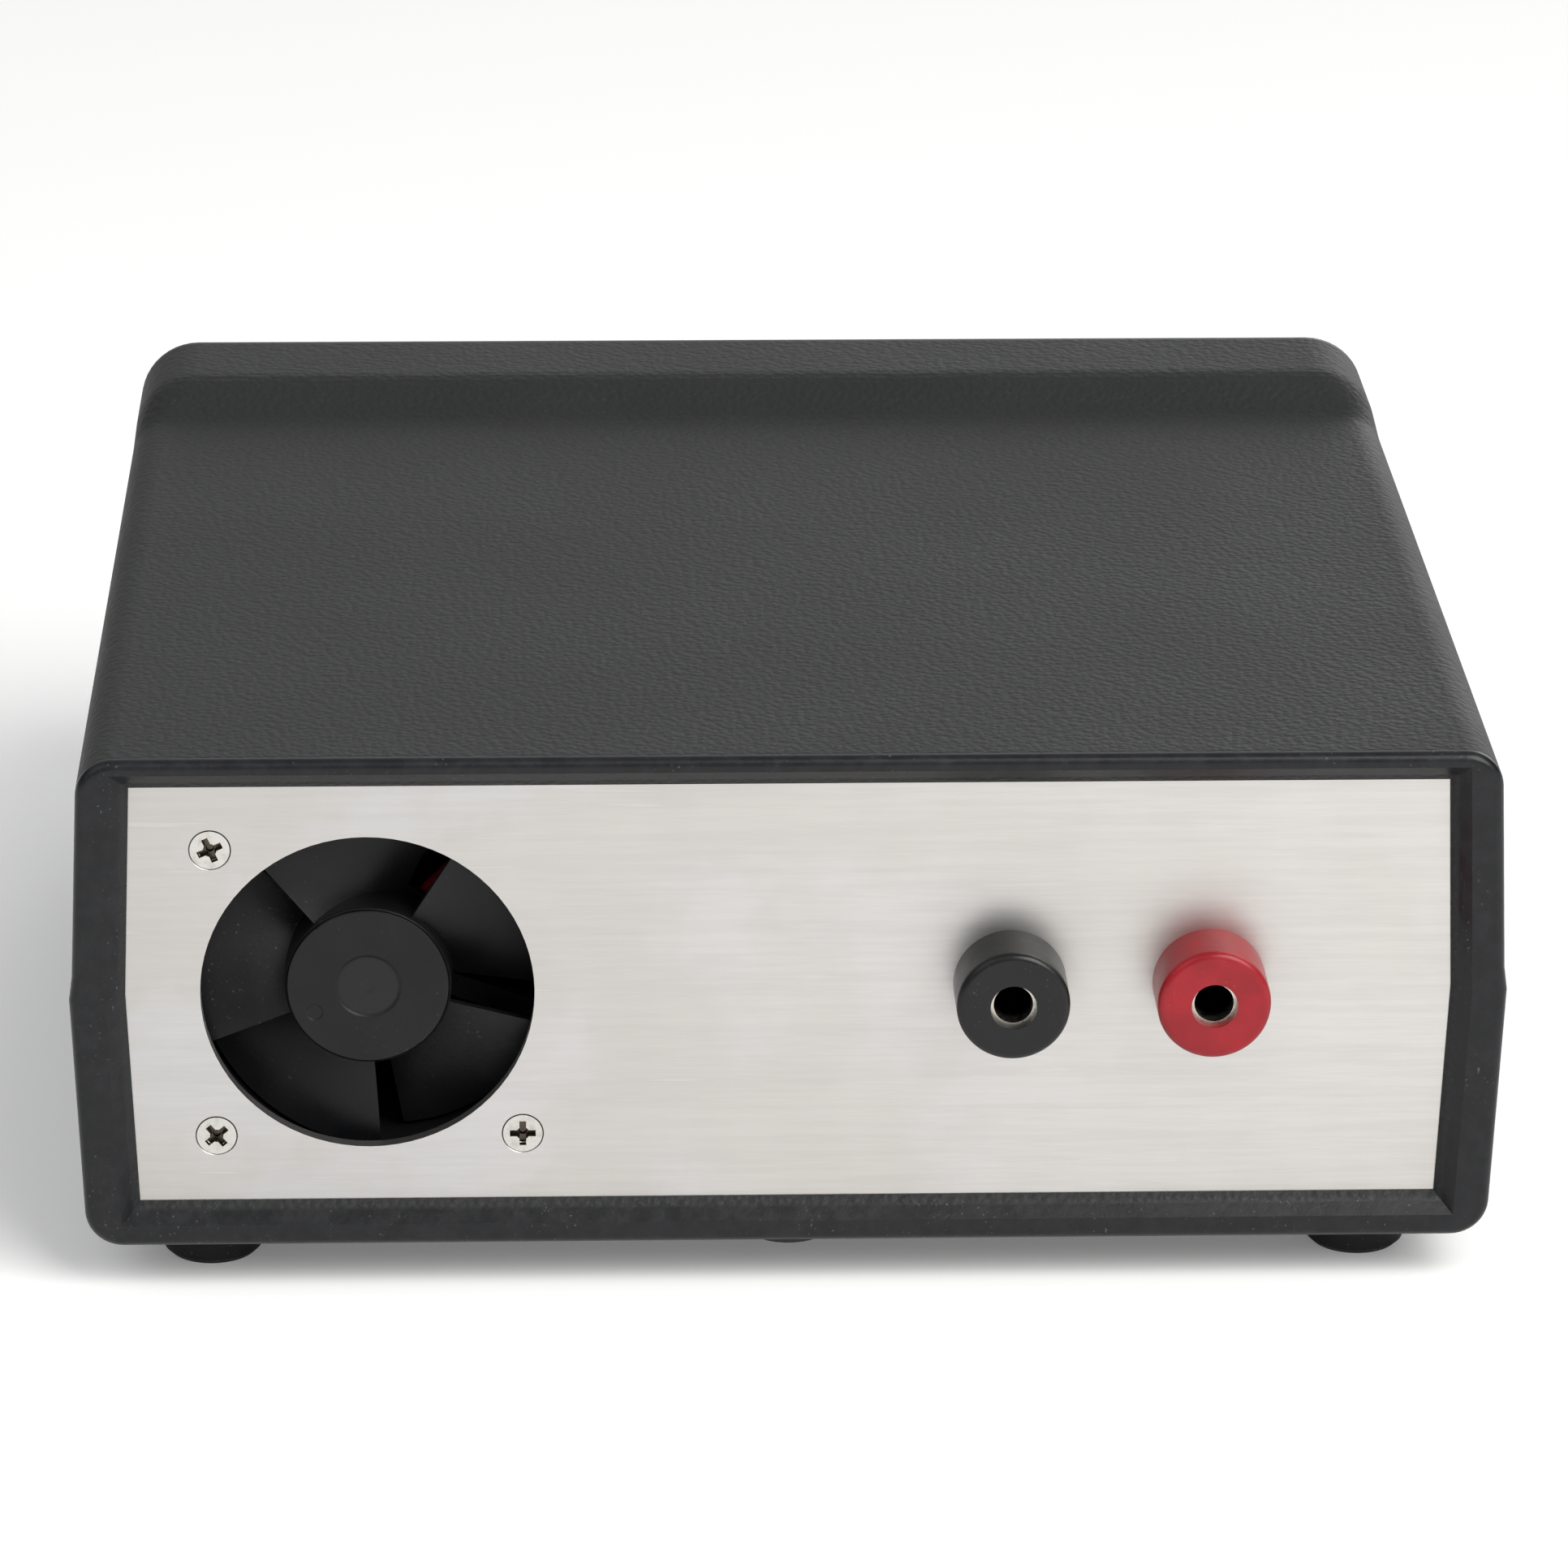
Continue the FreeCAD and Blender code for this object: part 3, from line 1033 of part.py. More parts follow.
def terminal_blocks():
    """Two-way screw terminals at the board's rear and front edges."""
    blocks = []
    for x, y, inward in ((TERMINAL_IN_X, f"{BOARD_REAR} - 1 - terminal_depth", 1),
                         (TERMINAL_OUT_X, f"{BOARD_FRONT} + 1", -1)):
        housing = block((f"{x} - terminal_width / 2", f"{x} + terminal_width / 2"), (y, f"{y} + terminal_depth"),
                        (BOARD_TOP, f"{BOARD_TOP} + terminal_height"))
        holes = []
        for step in (-1, 1):
            way = f"({x} + {step} * terminal_width / 4)"
            holes.append(cylinder("2.3", "3", (way, f"{y} + terminal_depth / 2", f"{BOARD_TOP} + terminal_height - 3")))
            mouth = f"({y} + terminal_depth - 3)" if inward > 0 else y
            holes.append(block((f"{way} - 2", f"{way} + 2"), (mouth, f"{mouth} + 3"),
                               (f"{BOARD_TOP} + 2", f"{BOARD_TOP} + 6")))
        blocks.append(cut(housing, *holes))
    group("terminal_blocks", blocks)


# ---------------------------------------------------------------- wiring
def route(points, bend):
    """Straight runs joined by tangent arcs; each arc is as large as its runs allow."""
    edges = []
    start = points[0]
    for before, corner, after in zip(points, points[1:], points[2:]):
        back = (before - corner)
        onward = (after - corner)
        turn = math.pi - back.getAngle(onward)
        radius = min(bend, 0.45 * min(back.Length, onward.Length) / math.tan(turn / 2))
        trim = radius * math.tan(turn / 2)
        enter = corner + back.normalize() * trim
        leave = corner + onward.normalize() * trim
        centre = corner + (back + onward).normalize() * (radius / math.cos(turn / 2))
        middle = centre + (corner - centre).normalize() * radius
        edges.append(Part.LineSegment(start, enter).toShape())
        edges.append(Part.Arc(enter, middle, leave).toShape())
        start = leave
    edges.append(Part.LineSegment(start, points[-1]).toShape())
    return Part.Wire(edges)


def lead(name, stops, radius, bend="lead_bend"):
    """A round wire through a list of stops; its volume must be its section times its length."""
    points = [V(*(measure(part) for part in stop)) for stop in stops]
    path = route(points, measure(bend))
    size = measure(radius)
    section = Part.Wire(Part.makeCircle(size, points[0], points[1] - points[0]))
    shape = path.makePipeShell([section], True, True)
    expected = math.pi * size * size * path.Length
    if abs(shape.Volume - expected) > 0.02 * expected:
        raise ValueError(f"{name} is pinched")
    wire = doc.addObject("Part::Feature", name)
    wire.Shape = shape
    wire.Placement = FreeCAD.Placement()
    return node(name, wire)


def wiring():
    """The leads, from solder end to solder end, and the display's flat cable."""
    rear_tail = f"({REAR_FACE} + socket_stand - socket_sink - sleeve_depth - sleeve_end)"
    front_tail = f"({FRONT_FACE} - socket_stand + socket_sink + sleeve_depth + sleeve_end)"
    socket_z = level("socket_level")
    out_z = level("out_level")
    way_z = f"({BOARD_TOP} + 4)"
    in_mouth = f"({BOARD_REAR} - 1 - 2)"
    out_mouth = f"({BOARD_FRONT} + 1 + 2)"
    way = "terminal_width / 4"
    tab_y = f"({FRONT_FACE} + switch_depth + 6)"
    tab_low = level("switch_level - 5")
    tab_high = level("switch_level + 5")
    aisle = f"(board_left - 5)"
    lead("input_lead_black", [
        (BLACK_IN_X, rear_tail, socket_z), (BLACK_IN_X, f"{rear_tail} - 6", socket_z),
        (f"{TERMINAL_IN_X} - {way} - 4", f"{BOARD_REAR} + 6", f"{BOARD_TOP} + 12"),
        (f"{TERMINAL_IN_X} - {way}", f"{BOARD_REAR} + 5", way_z),
        (f"{TERMINAL_IN_X} - {way}", in_mouth, way_z)], "lead_radius")
    lead("input_lead_red", [
        (RED_IN_X, rear_tail, socket_z), (RED_IN_X, f"{rear_tail} - 8", socket_z),
        (aisle, f"{BOARD_REAR} - 8", f"{BOARD_TOP} + 16"), (aisle, f"{BOARD_FRONT} - 4", f"{BOARD_TOP} + 10"),
        (SWITCH_X, f"{tab_y} + 9", tab_high), (SWITCH_X, tab_y, tab_high)], "lead_radius")
    lead("switch_lead", [
        (SWITCH_X, tab_y, tab_low), (SWITCH_X, f"{tab_y} + 8", tab_low),
        (f"{aisle} + 1", f"{BOARD_FRONT} + 4", f"{BOARD_TOP} + 2"), (f"{aisle} + 1", f"{BOARD_REAR} - 10", f"{BOARD_TOP} + 3"),
        (f"{aisle} + 10", f"{BOARD_REAR} + 3", f"{BOARD_TOP} + 4"),
        (f"{TERMINAL_IN_X} + {way} - 12", f"{BOARD_REAR} + 3.4", f"{BOARD_TOP} + 1.2"),
        (f"{TERMINAL_IN_X} + {way}", f"{BOARD_REAR} + 4.6", f"{BOARD_TOP} + 1.8"),
        (f"{TERMINAL_IN_X} + {way}", in_mouth, way_z)], "lead_radius")
    for name, x, side in (("black", BLACK_OUT_X, "-1"), ("red", RED_OUT_X, "1")):
        terminal = f"({TERMINAL_OUT_X} + {side} * {way})"
        lead(f"output_lead_{name}", [
            (terminal, out_mouth, way_z), (terminal, f"{BOARD_FRONT} - 7", way_z),
            (x, f"{front_tail} + 7", out_z), (x, front_tail, out_z)], "lead_radius")
    back = f"({REAR_FACE} - {FAN_BACK})"
    for name, shift in (("red", "0"), ("black", "lead_apart")):
        aside = f"({FAN_X} + {shift})"
        landing = f"(board_right - 20 + {shift})"
        lead(f"fan_lead_{name}", [
            (f"{aside} - 4.2", back, level(f"fan_level + 4.6 + {shift}")),
            (f"{aside} - 4.2", f"{back} - 2.2", level(f"fan_level + 4.6 + {shift}")),
            (f"{aside} - 14.2", f"{back} - 2.2", level(f"fan_level + 14.3 + {shift}")),
            (f"{aside} - 21", f"{back} - 6", level(f"fan_level + 8 + {shift}")),
            (f"{landing}", f"{back} - 10", f"{BOARD_TOP} + 12"),
            (f"{landing}", f"{BOARD_REAR} - 3", f"{BOARD_TOP} + 5"),
            (f"{landing}", f"{BOARD_REAR} - 3", BOARD_TOP)], "thin_lead", "thin_lead * 5")
    display_ribbon()


def display_ribbon():
    """Flat cable that hangs from the display board's back and lands on the main board."""
    back = measure(f"{FRONT_FACE} + panel_thick + 1.4 + digit_depth + display_board_thick")
    high = measure(level("window_level - window_height / 2 + 4"))
    deck = measure(BOARD_TOP)
    land = measure(f"{BOARD_FRONT} + 5")
    path = [V(0, back, high), V(0, back + 6, high), V(0, (back + land) / 2, high - 6), V(0, land, deck + 9), V(0, land, deck)]
    line = route(path, measure("ribbon_bend"))
    width = measure("ribbon_width")
    thick = measure("ribbon_thick")
    section = Part.makePolygon([V(0, back, high - thick / 2), V(width, back, high - thick / 2),
                                V(width, back, high + thick / 2), V(0, back, high + thick / 2),
                                V(0, back, high - thick / 2)])
    shape = line.makePipeShell([section], True, True)
    cable = doc.addObject("Part::Feature", "display_ribbon")
    cable.Shape = shape
    cable.Placement = FreeCAD.Placement(V(measure(f"{CAPACITOR_X} - ribbon_width / 2"), 0, 0), UPRIGHT)
    return node("display_ribbon", cable)


# ---------------------------------------------------------------- build
def build():
    for make in (bottom_shell, top_shell, case_screws, feet, rear_panel, front_panel, fan_frame, fan_rotor,
                 fan_motor, fan_fasteners, panel_sockets, potentiometers, power_switch, display,
                 converter_board, heat_sink, inductor, filter_capacitors, terminal_blocks, wiring):
        make()
        doc.recompute()


def check():
    """Refuse a failed feature, or a piece whose shape is missing or broken."""
    for thing in doc.Objects:
        if "Invalid" in thing.State or "Error" in thing.State:
            raise ValueError(f"{thing.Name} failed: {thing.State}")
    for name, thing in NODES.items():
        if thing.Shape.isNull() or not thing.Shape.isValid():
            raise ValueError(f"{name} has no sound shape")


build()
check()
os.makedirs("parts", exist_ok=True)
for name, thing in NODES.items():
    thing.Shape.exportStep(f"parts/{name}.step")
print(len(NODES), "pieces")
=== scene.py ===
# %% [markdown]
# # A small bench power supply, seen from behind
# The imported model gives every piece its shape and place. This script gives each piece its finish,
# adds the few things that are printed, filled or clipped on, and sets up the light and the camera.
# Lengths in the comments are millimetres; Blender works in metres, so MM turns one into the other.

import json
import math

import bmesh
import bpy
from mathutils import Matrix, Vector


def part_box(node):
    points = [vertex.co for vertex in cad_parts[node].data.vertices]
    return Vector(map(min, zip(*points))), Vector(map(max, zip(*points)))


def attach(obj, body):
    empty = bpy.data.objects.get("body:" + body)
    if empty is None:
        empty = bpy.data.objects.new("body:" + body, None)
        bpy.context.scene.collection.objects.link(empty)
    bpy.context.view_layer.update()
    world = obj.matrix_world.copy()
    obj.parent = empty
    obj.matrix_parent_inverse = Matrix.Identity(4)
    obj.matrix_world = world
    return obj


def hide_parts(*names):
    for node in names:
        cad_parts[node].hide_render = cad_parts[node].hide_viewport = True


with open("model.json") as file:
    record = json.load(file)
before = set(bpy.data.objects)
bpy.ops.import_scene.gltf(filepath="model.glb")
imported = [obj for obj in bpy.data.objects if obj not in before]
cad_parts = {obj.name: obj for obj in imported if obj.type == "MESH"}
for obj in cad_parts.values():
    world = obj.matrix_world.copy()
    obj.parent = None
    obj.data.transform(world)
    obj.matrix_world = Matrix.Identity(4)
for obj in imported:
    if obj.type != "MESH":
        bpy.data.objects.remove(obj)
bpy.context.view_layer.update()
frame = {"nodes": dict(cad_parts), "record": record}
MM = 0.001

# %% [markdown]
# ## Camera
# A long lens from about 0.7 m keeps the perspective gentle. The camera looks down by nearly a quarter of
# a right angle, at the middle of the rear rim's top edge, and stands two degrees towards the fan's side
# of straight behind. Its axes are worked out one by one, so that the small roll can be added at the end.

# %% Aim the camera
LENS_WIDTH = 36.0
FOCAL_LENGTH = 161.8
DISTANCE = 0.723
LOOK_DOWN = math.radians(20.614)
SIDE_STEP = math.radians(2.03)
ROLL = math.radians(0.3347)

AIM_SIDE = 0.82 * MM
AIM_HEIGHT = 52.0 * MM

shell_low, shell_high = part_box("bottom_shell")
top_low, top_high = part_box("top_shell")
AIM = Vector((AIM_SIDE, shell_high.y, shell_low.z + AIM_HEIGHT))


def camera_axes():
    """The camera's right, up and back directions, as columns of a turn."""
    back = Vector((
        math.sin(SIDE_STEP) * math.cos(LOOK_DOWN),
        math.cos(SIDE_STEP) * math.cos(LOOK_DOWN),
        math.sin(LOOK_DOWN),
    ))
    right = Vector((0, 0, 1)).cross(back).normalized()
    up = back.cross(right)
    turned_right = right * math.cos(ROLL) + up * math.sin(ROLL)
    turned_up = up * math.cos(ROLL) - right * math.sin(ROLL)
    return turned_right, turned_up, back


right, up, back = camera_axes()
camera_data = bpy.data.cameras.new("bench_camera")
camera_data.sensor_width = LENS_WIDTH
camera_data.lens = FOCAL_LENGTH
camera_data.clip_start = 0.01
camera = bpy.data.objects.new("bench_camera", camera_data)
bpy.context.scene.collection.objects.link(camera)
place = AIM + back * DISTANCE
turn = Matrix((right, up, back)).transposed().to_4x4()
camera.matrix_world = Matrix.Translation(place) @ turn
bpy.context.scene.camera = camera
print("camera at", [round(value, 3) for value in place])

# %% [markdown]
# ## A short way to write shader nodes
# Every material below is a small tree of nodes. `put` adds one node: a plain value fills its socket,
# and an output of another node is linked to it. That keeps each finish down to a few lines.


# %% Helpers for node trees
def put(tree, kind, sockets=None, **settings):
    """Add a node, set its settings, then fill or link its sockets."""
    node = tree.nodes.new(kind)
    for name, value in settings.items():
        setattr(node, name, value)
    for name, value in (sockets or {}).items():
        if isinstance(value, bpy.types.NodeSocket):
            tree.links.new(value, node.inputs[name])
        else:
            node.inputs[name].default_value = value
    return node


def maths(tree, operation, first, second=0.0):
    """One step of arithmetic on two numbers or outputs."""
    return put(tree, "ShaderNodeMath", {0: first, 1: second}, operation=operation).outputs["Value"]


def times(tree, first, second):
    return maths(tree, "MULTIPLY", first, second)


def plus(tree, first, second):
    return maths(tree, "ADD", first, second)


def along(tree, vector, axis):
    """One of the three parts of a vector."""
    return put(tree, "ShaderNodeSeparateXYZ", {"Vector": vector}).outputs[axis]


def ramp(tree, value, low, high, out_low=0.0, out_high=1.0):
    """A smooth step from one range to another."""
    node = put(tree, "ShaderNodeMapRange", {
        "Value": value, "From Min": low, "From Max": high, "To Min": out_low, "To Max": out_high,
    }, interpolation_type="SMOOTHSTEP")
    return node.outputs["Result"]


def blended(tree, share, first, second):
    """One colour turning into another."""
    node = put(tree, "ShaderNodeMix", data_type="RGBA")
    for socket, value in ((node.inputs[0], share), (node.inputs[6], first), (node.inputs[7], second)):
        if isinstance(value, bpy.types.NodeSocket):
            tree.links.new(value, socket)
        elif isinstance(value, float):
            socket.default_value = value
        else:
            socket.default_value = (*value, 1.0)
    return node.outputs[2]


def spots(tree, centre, stretch=(1.0, 1.0, 1.0)):
    """Object coordinates, measured from a centre and stretched."""
    coordinates = put(tree, "ShaderNodeTexCoord")
    mapping = put(tree, "ShaderNodeMapping", {
        "Vector": coordinates.outputs["Object"],
        "Location": [-middle * factor for middle, factor in zip(centre, stretch)],
        "Scale": stretch,
    })
    return mapping.outputs["Vector"]


def noise(tree, vector, feature, detail=3.0, roughness=0.5):
    """Noise whose blobs are about one feature wide, from nearly 0 to nearly 1."""
    node = put(tree, "ShaderNodeTexNoise", {
        "Vector": vector, "Scale": 1.0 / feature, "Detail": detail, "Roughness": roughness,
    })
    return node.outputs["Fac"]


print("node helpers ready")

# %% [markdown]
# ## Effects that many finishes share
# Moulded plastic, metal and rubber all carry the same three things: a grain or texture that the bump
# follows, dust that settles in specks, and fine scratches. Each is a node group with named inputs,
# built once, so that a material only says how large and how strong it wants the effect.


# %% Start a node group
def new_group(name, inputs, outputs):
    """An empty group with its sockets, and the nodes at its two ends."""
    tree = bpy.data.node_groups.new(name, "ShaderNodeTree")
    for title, kind, start in inputs:
        socket = tree.interface.new_socket(name=title, in_out="INPUT", socket_type=kind)
        if start is not None:
            socket.default_value = start
    for title, kind in outputs:
        tree.interface.new_socket(name=title, in_out="OUTPUT", socket_type=kind)
    return tree, tree.nodes.new("NodeGroupInput"), tree.nodes.new("NodeGroupOutput")


def use_group(tree, group, sockets):
    """Place a group in a material with its own values."""
    return put(tree, "ShaderNodeGroup", sockets, node_tree=group)


# %% Pebbled grain of a moulded case
def build_pebble_grain():
    """Rounded cells with soft valleys, broken up by a finer noise."""
    tree, source, sink = new_group(
        "pebble_grain",
        [("Vector", "NodeSocketVector", None), ("Cells per metre", "NodeSocketFloat", 1400.0)],
        [("Height", "NodeSocketFloat")])
    wobble = put(tree, "ShaderNodeTexNoise", {
        "Vector": source.outputs["Vector"], "Scale": 900.0, "Detail": 2.0})
    shift = put(tree, "ShaderNodeVectorMath", {0: wobble.outputs["Color"], 1: (0.0004, 0.0004, 0.0004)},
                operation="MULTIPLY")
    bent = put(tree, "ShaderNodeVectorMath", {0: source.outputs["Vector"], 1: shift.outputs["Vector"]},
               operation="ADD")
    cells = put(tree, "ShaderNodeTexVoronoi", {
        "Vector": bent.outputs["Vector"], "Scale": source.outputs["Cells per metre"], "Smoothness": 0.55,
    }, feature="SMOOTH_F1")
    rounded = maths(tree, "SUBTRACT", 1.0, cells.outputs["Distance"])
    fine = put(tree, "ShaderNodeTexNoise", {
        "Vector": source.outputs["Vector"], "Scale": 4200.0, "Detail": 2.0})
    rough = times(tree, fine.outputs["Fac"], 0.35)
    tree.links.new(plus(tree, rounded, rough), sink.inputs["Height"])
    return tree


pebble_grain = build_pebble_grain()


# %% Dust that settles in specks and soft patches
def build_dust():
    """Small bright specks, more of them where a broad noise is high."""
    tree, source, sink = new_group(
        "dust",
        [("Vector", "NodeSocketVector", None), ("Speck", "NodeSocketFloat", 0.0003),
         ("Amount", "NodeSocketFloat", 0.3)],
        [("Mask", "NodeSocketFloat")])
    scale = maths(tree, "DIVIDE", 1.0, source.outputs["Speck"])
    specks = put(tree, "ShaderNodeTexNoise", {
        "Vector": source.outputs["Vector"], "Scale": scale, "Detail": 2.0})
    broad = put(tree, "ShaderNodeTexNoise", {
        "Vector": source.outputs["Vector"], "Scale": 90.0, "Detail": 3.0})
    dots = ramp(tree, specks.outputs["Fac"], 0.66, 0.74)
    patches = ramp(tree, broad.outputs["Fac"], 0.42, 0.66)
    both = times(tree, dots, patches)
    tree.links.new(times(tree, both, source.outputs["Amount"]), sink.inputs["Mask"])
    return tree


dust = build_dust()


# %% Fine lines: brushing and scratches
def build_fine_lines():
    """A height and sparse scratches, from coordinates already stretched along the lines."""
    tree, source, sink = new_group(
        "fine_lines",
        [("Vector", "NodeSocketVector", None), ("Lines per metre", "NodeSocketFloat", 4000.0)],
        [("Height", "NodeSocketFloat"), ("Scratches", "NodeSocketFloat")])
    lines = put(tree, "ShaderNodeTexNoise", {
        "Vector": source.outputs["Vector"], "Scale": source.outputs["Lines per metre"], "Detail": 3.0,
        "Roughness": 0.65})
    coarse_scale = times(tree, source.outputs["Lines per metre"], 0.3)
    coarse = put(tree, "ShaderNodeTexNoise", {
        "Vector": source.outputs["Vector"], "Scale": coarse_scale, "Detail": 2.0})
    height = times(tree, plus(tree, lines.outputs["Fac"], coarse.outputs["Fac"]), 0.5)
    tree.links.new(height, sink.inputs["Height"])
    tree.links.new(ramp(tree, coarse.outputs["Fac"], 0.70, 0.76), sink.inputs["Scratches"])
    return tree


fine_lines = build_fine_lines()
print("groups:", [group.name for group in bpy.data.node_groups])


# %% [markdown]
# ## Finishes
# A Principled shader can be almost any of these surfaces. What tells them apart is how the light
# breaks up on them, so each finish starts from a base colour and a roughness, and then
# lets a noise move both a little. Numbers that are the same all over sit on the shader itself.


# %% Start a material
def new_material(name, **constants):
    """A material with one Principled shader, and the values that don't change over its surface."""
    material = bpy.data.materials.new(name)
    material.use_nodes = True
    tree = material.node_tree
    tree.nodes.clear()
    shader = tree.nodes.new("ShaderNodeBsdfPrincipled")
    output = tree.nodes.new("ShaderNodeOutputMaterial")
    tree.links.new(shader.outputs["BSDF"], output.inputs["Surface"])
    for name_of_socket, value in constants.items():
        shader.inputs[name_of_socket.replace("_", " ")].default_value = value
    return material, tree, shader


def feed(shader, socket, value):
    """Let a node's output drive one socket of the shader."""
    shader.id_data.links.new(value, shader.inputs[socket])


def bump(tree, shader, height, depth, strength):
    """Let a height move the light without moving the surface."""
    node = put(tree, "ShaderNodeBump", {"Height": height, "Distance": depth, "Strength": strength})
    feed(shader, "Normal", node.outputs["Normal"])


def scaled(color, factor):
    """A lighter or darker version of a colour."""
    return tuple(min(1.0, part * factor) for part in color)


def wandering(tree, shader, field, middle, below, above, low=0.3, high=0.7):
    """A roughness that wanders round its middle value as a noise does."""
    feed(shader, "Roughness", ramp(tree, field, low, high, middle * below, middle * above))


# %% [markdown]
# ### Case
# The two shells are moulded in dark grey plastic with a fine pebbled grain, and a smooth band runs
# round both ends, where the rims are. The distance from the middle of the case's depth decides which is
# which. The smooth band is glossier and shows small scuffs; pale specks gather on it more than on the
# grain, partly dust and partly painted highlights that stand in for glints off the scuffs.


# %% Case plastic
GRAIN_DARK = (0.0132, 0.0140, 0.0144)
GRAIN_PALE = (0.0154, 0.0161, 0.0163)
RIM_DARK = (0.0055, 0.0060, 0.0072)
RIM_PALE = (0.0125, 0.0130, 0.0150)
# Colour of the case's pale specks: partly dust, partly painted glints.
CASE_DUST_AND_GLINT = (0.20, 0.20, 0.20)
RIM_STARTS = 1.7 * MM
RIM_SMOOTH = 1.1 * MM


def case_plastic():
    material, tree, shader = new_material("case_leather_grain", IOR=1.46, Specular_IOR_Level=0.34)
    middle = (top_low + top_high) / 2
    half = (top_high.y - top_low.y) / 2
    here = spots(tree, (0.0, middle.y, 0.0))
    from_middle = maths(tree, "ABSOLUTE", along(tree, here, "Y"))
    rim = ramp(tree, from_middle, half - RIM_STARTS, half - RIM_SMOOTH)
    grain = use_group(tree, pebble_grain, {"Vector": here, "Cells per metre": 1250.0})
    smudge = noise(tree, here, 22 * MM)
    worn = noise(tree, here, 2.5 * MM, detail=5.0, roughness=0.7)
    specks = use_group(tree, dust, {"Vector": here, "Speck": 0.42 * MM, "Amount": 0.45})
    color = blended(tree, ramp(tree, smudge, 0.3, 0.7), GRAIN_DARK, GRAIN_PALE)
    rim_color = blended(tree, ramp(tree, worn, 0.35, 0.75), RIM_DARK, RIM_PALE)
    color = blended(tree, rim, color, rim_color)
    # Pale specks weighted towards the rim: partly dust, partly painted highlights standing in for glints.
    dust_and_glints_here = times(tree, specks.outputs["Mask"], ramp(tree, rim, 0.0, 1.0, 0.25, 1.0))
    color = blended(tree, dust_and_glints_here, color, CASE_DUST_AND_GLINT)
    feed(shader, "Base Color", color)
    grained_gloss = ramp(tree, smudge, 0.3, 0.7, 0.53, 0.57)
    rim_gloss = ramp(tree, worn, 0.35, 0.75, 0.30, 0.42)
    gloss = put(tree, "ShaderNodeMix", {0: rim, 2: grained_gloss, 3: rim_gloss}, data_type="FLOAT")
    feed(shader, "Roughness", gloss.outputs[0])
    grain_here = times(tree, grain.outputs["Height"], maths(tree, "SUBTRACT", 1.0, rim))
    wear_here = times(tree, times(tree, worn, rim), 0.35)
    bump(tree, shader, plus(tree, grain_here, wear_here), 0.15 * MM, 0.85)
    return material


# %% [markdown]
# ### Plain mouldings
# Knobs, sockets, switch, fan and feet are smooth or lightly textured mouldings. They share one recipe:
# a base colour with faint patches, a roughness that wanders a little, specks of dust, and a bump that
# is only deep enough to break a straight reflection.


# %% Moulded plastic and rubber
PALE_DUST = (0.30, 0.30, 0.30)


def moulding(name, color, roughness, texture=0.6, depth=0.02, specks=0.15, coat=0.0, patch=6.0):
    material, tree, shader = new_material(name, IOR=1.48, Specular_IOR_Level=0.32)
    shader.inputs["Coat Weight"].default_value = coat
    shader.inputs["Coat Roughness"].default_value = 0.12
    here = spots(tree, (0.0, 0.0, 0.0))
    patches = noise(tree, here, patch * MM)
    base = blended(tree, ramp(tree, patches, 0.3, 0.7), scaled(color, 0.88), scaled(color, 1.12))
    settled = use_group(tree, dust, {"Vector": here, "Speck": 0.3 * MM, "Amount": specks})
    base = blended(tree, settled.outputs["Mask"], base, PALE_DUST)
    feed(shader, "Base Color", base)
    wandering(tree, shader, patches, roughness, 0.88, 1.12)
    bump(tree, shader, noise(tree, here, texture * MM), depth * MM, 0.6)
    return material


# %% [markdown]
# ### Brushed panels
# The end panels are sheet aluminium, brushed from side to side. Stretching the coordinates along X
# turns round noise into long thin lines. A broad noise leaves the faint cool and warm clouds that
# handling leaves on bare metal, and the brushing also spreads the reflections up and down. Over its
# width the colour is painted lighter towards -X, a painted light for the side the high lamp lights more.


# %% Brushed aluminium sheet
COOL_TINT = (1.00, 1.02, 1.06)
PAINTED_LIGHT_SPAN = 70 * MM


def brushed_panel(name, color, roughness):
    material, tree, shader = new_material(name, Metallic=1.0)
    lines = use_group(tree, fine_lines, {"Vector": spots(tree, (0, 0, 0), (0.035, 1.0, 1.0)),
                                         "Lines per metre": 4600.0})
    here = spots(tree, (0, 0, 0))
    clouds = noise(tree, here, 26 * MM, detail=4.0, roughness=0.6)
    blots = noise(tree, here, 9 * MM, detail=2.0)
    sides = along(tree, here, "X")
    warm = scaled(color, 0.95)
    cool = tuple(part * tint for part, tint in zip(color, COOL_TINT))
    base = blended(tree, ramp(tree, clouds, 0.44, 0.58), warm, cool)
    # Painted light: the colour turns lighter towards -X, the side the high lamp lights more.
    base = blended(tree, ramp(tree, sides, PAINTED_LIGHT_SPAN, -PAINTED_LIGHT_SPAN, 0.0, 0.6), base, scaled(color, 1.12))
    streak = ramp(tree, lines.outputs["Height"], 0.36, 0.64, 0.0, 0.26)
    base = blended(tree, streak, base, scaled(color, 0.78))
    scratched = times(tree, lines.outputs["Scratches"], 0.35)
    base = blended(tree, scratched, base, scaled(color, 1.15))
    feed(shader, "Base Color", base)
    wandering(tree, shader, blots, roughness, 0.93, 1.07)
    bump(tree, shader, lines.outputs["Height"], 0.02 * MM, 0.40)
    return material


# %% Plated, turned and cast metal
# The first colour is a brownish painted shade for the screws' cross recesses.
RECESS_SHADE = (0.085, 0.070, 0.056)
BORE_SHADE = (0.020, 0.017, 0.013)
EVEN = (1.0, 1.0, 1.0)


def shaded_recess(tree, here, base):
    """Painted shade in the cross recess of the screws that hold the fan, below the face of their heads."""
    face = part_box("fan_screws")[1].y
    sunk = ramp(tree, along(tree, here, "Y"), face - 0.16 * MM, face - 0.40 * MM)
    return blended(tree, sunk, base, RECESS_SHADE)


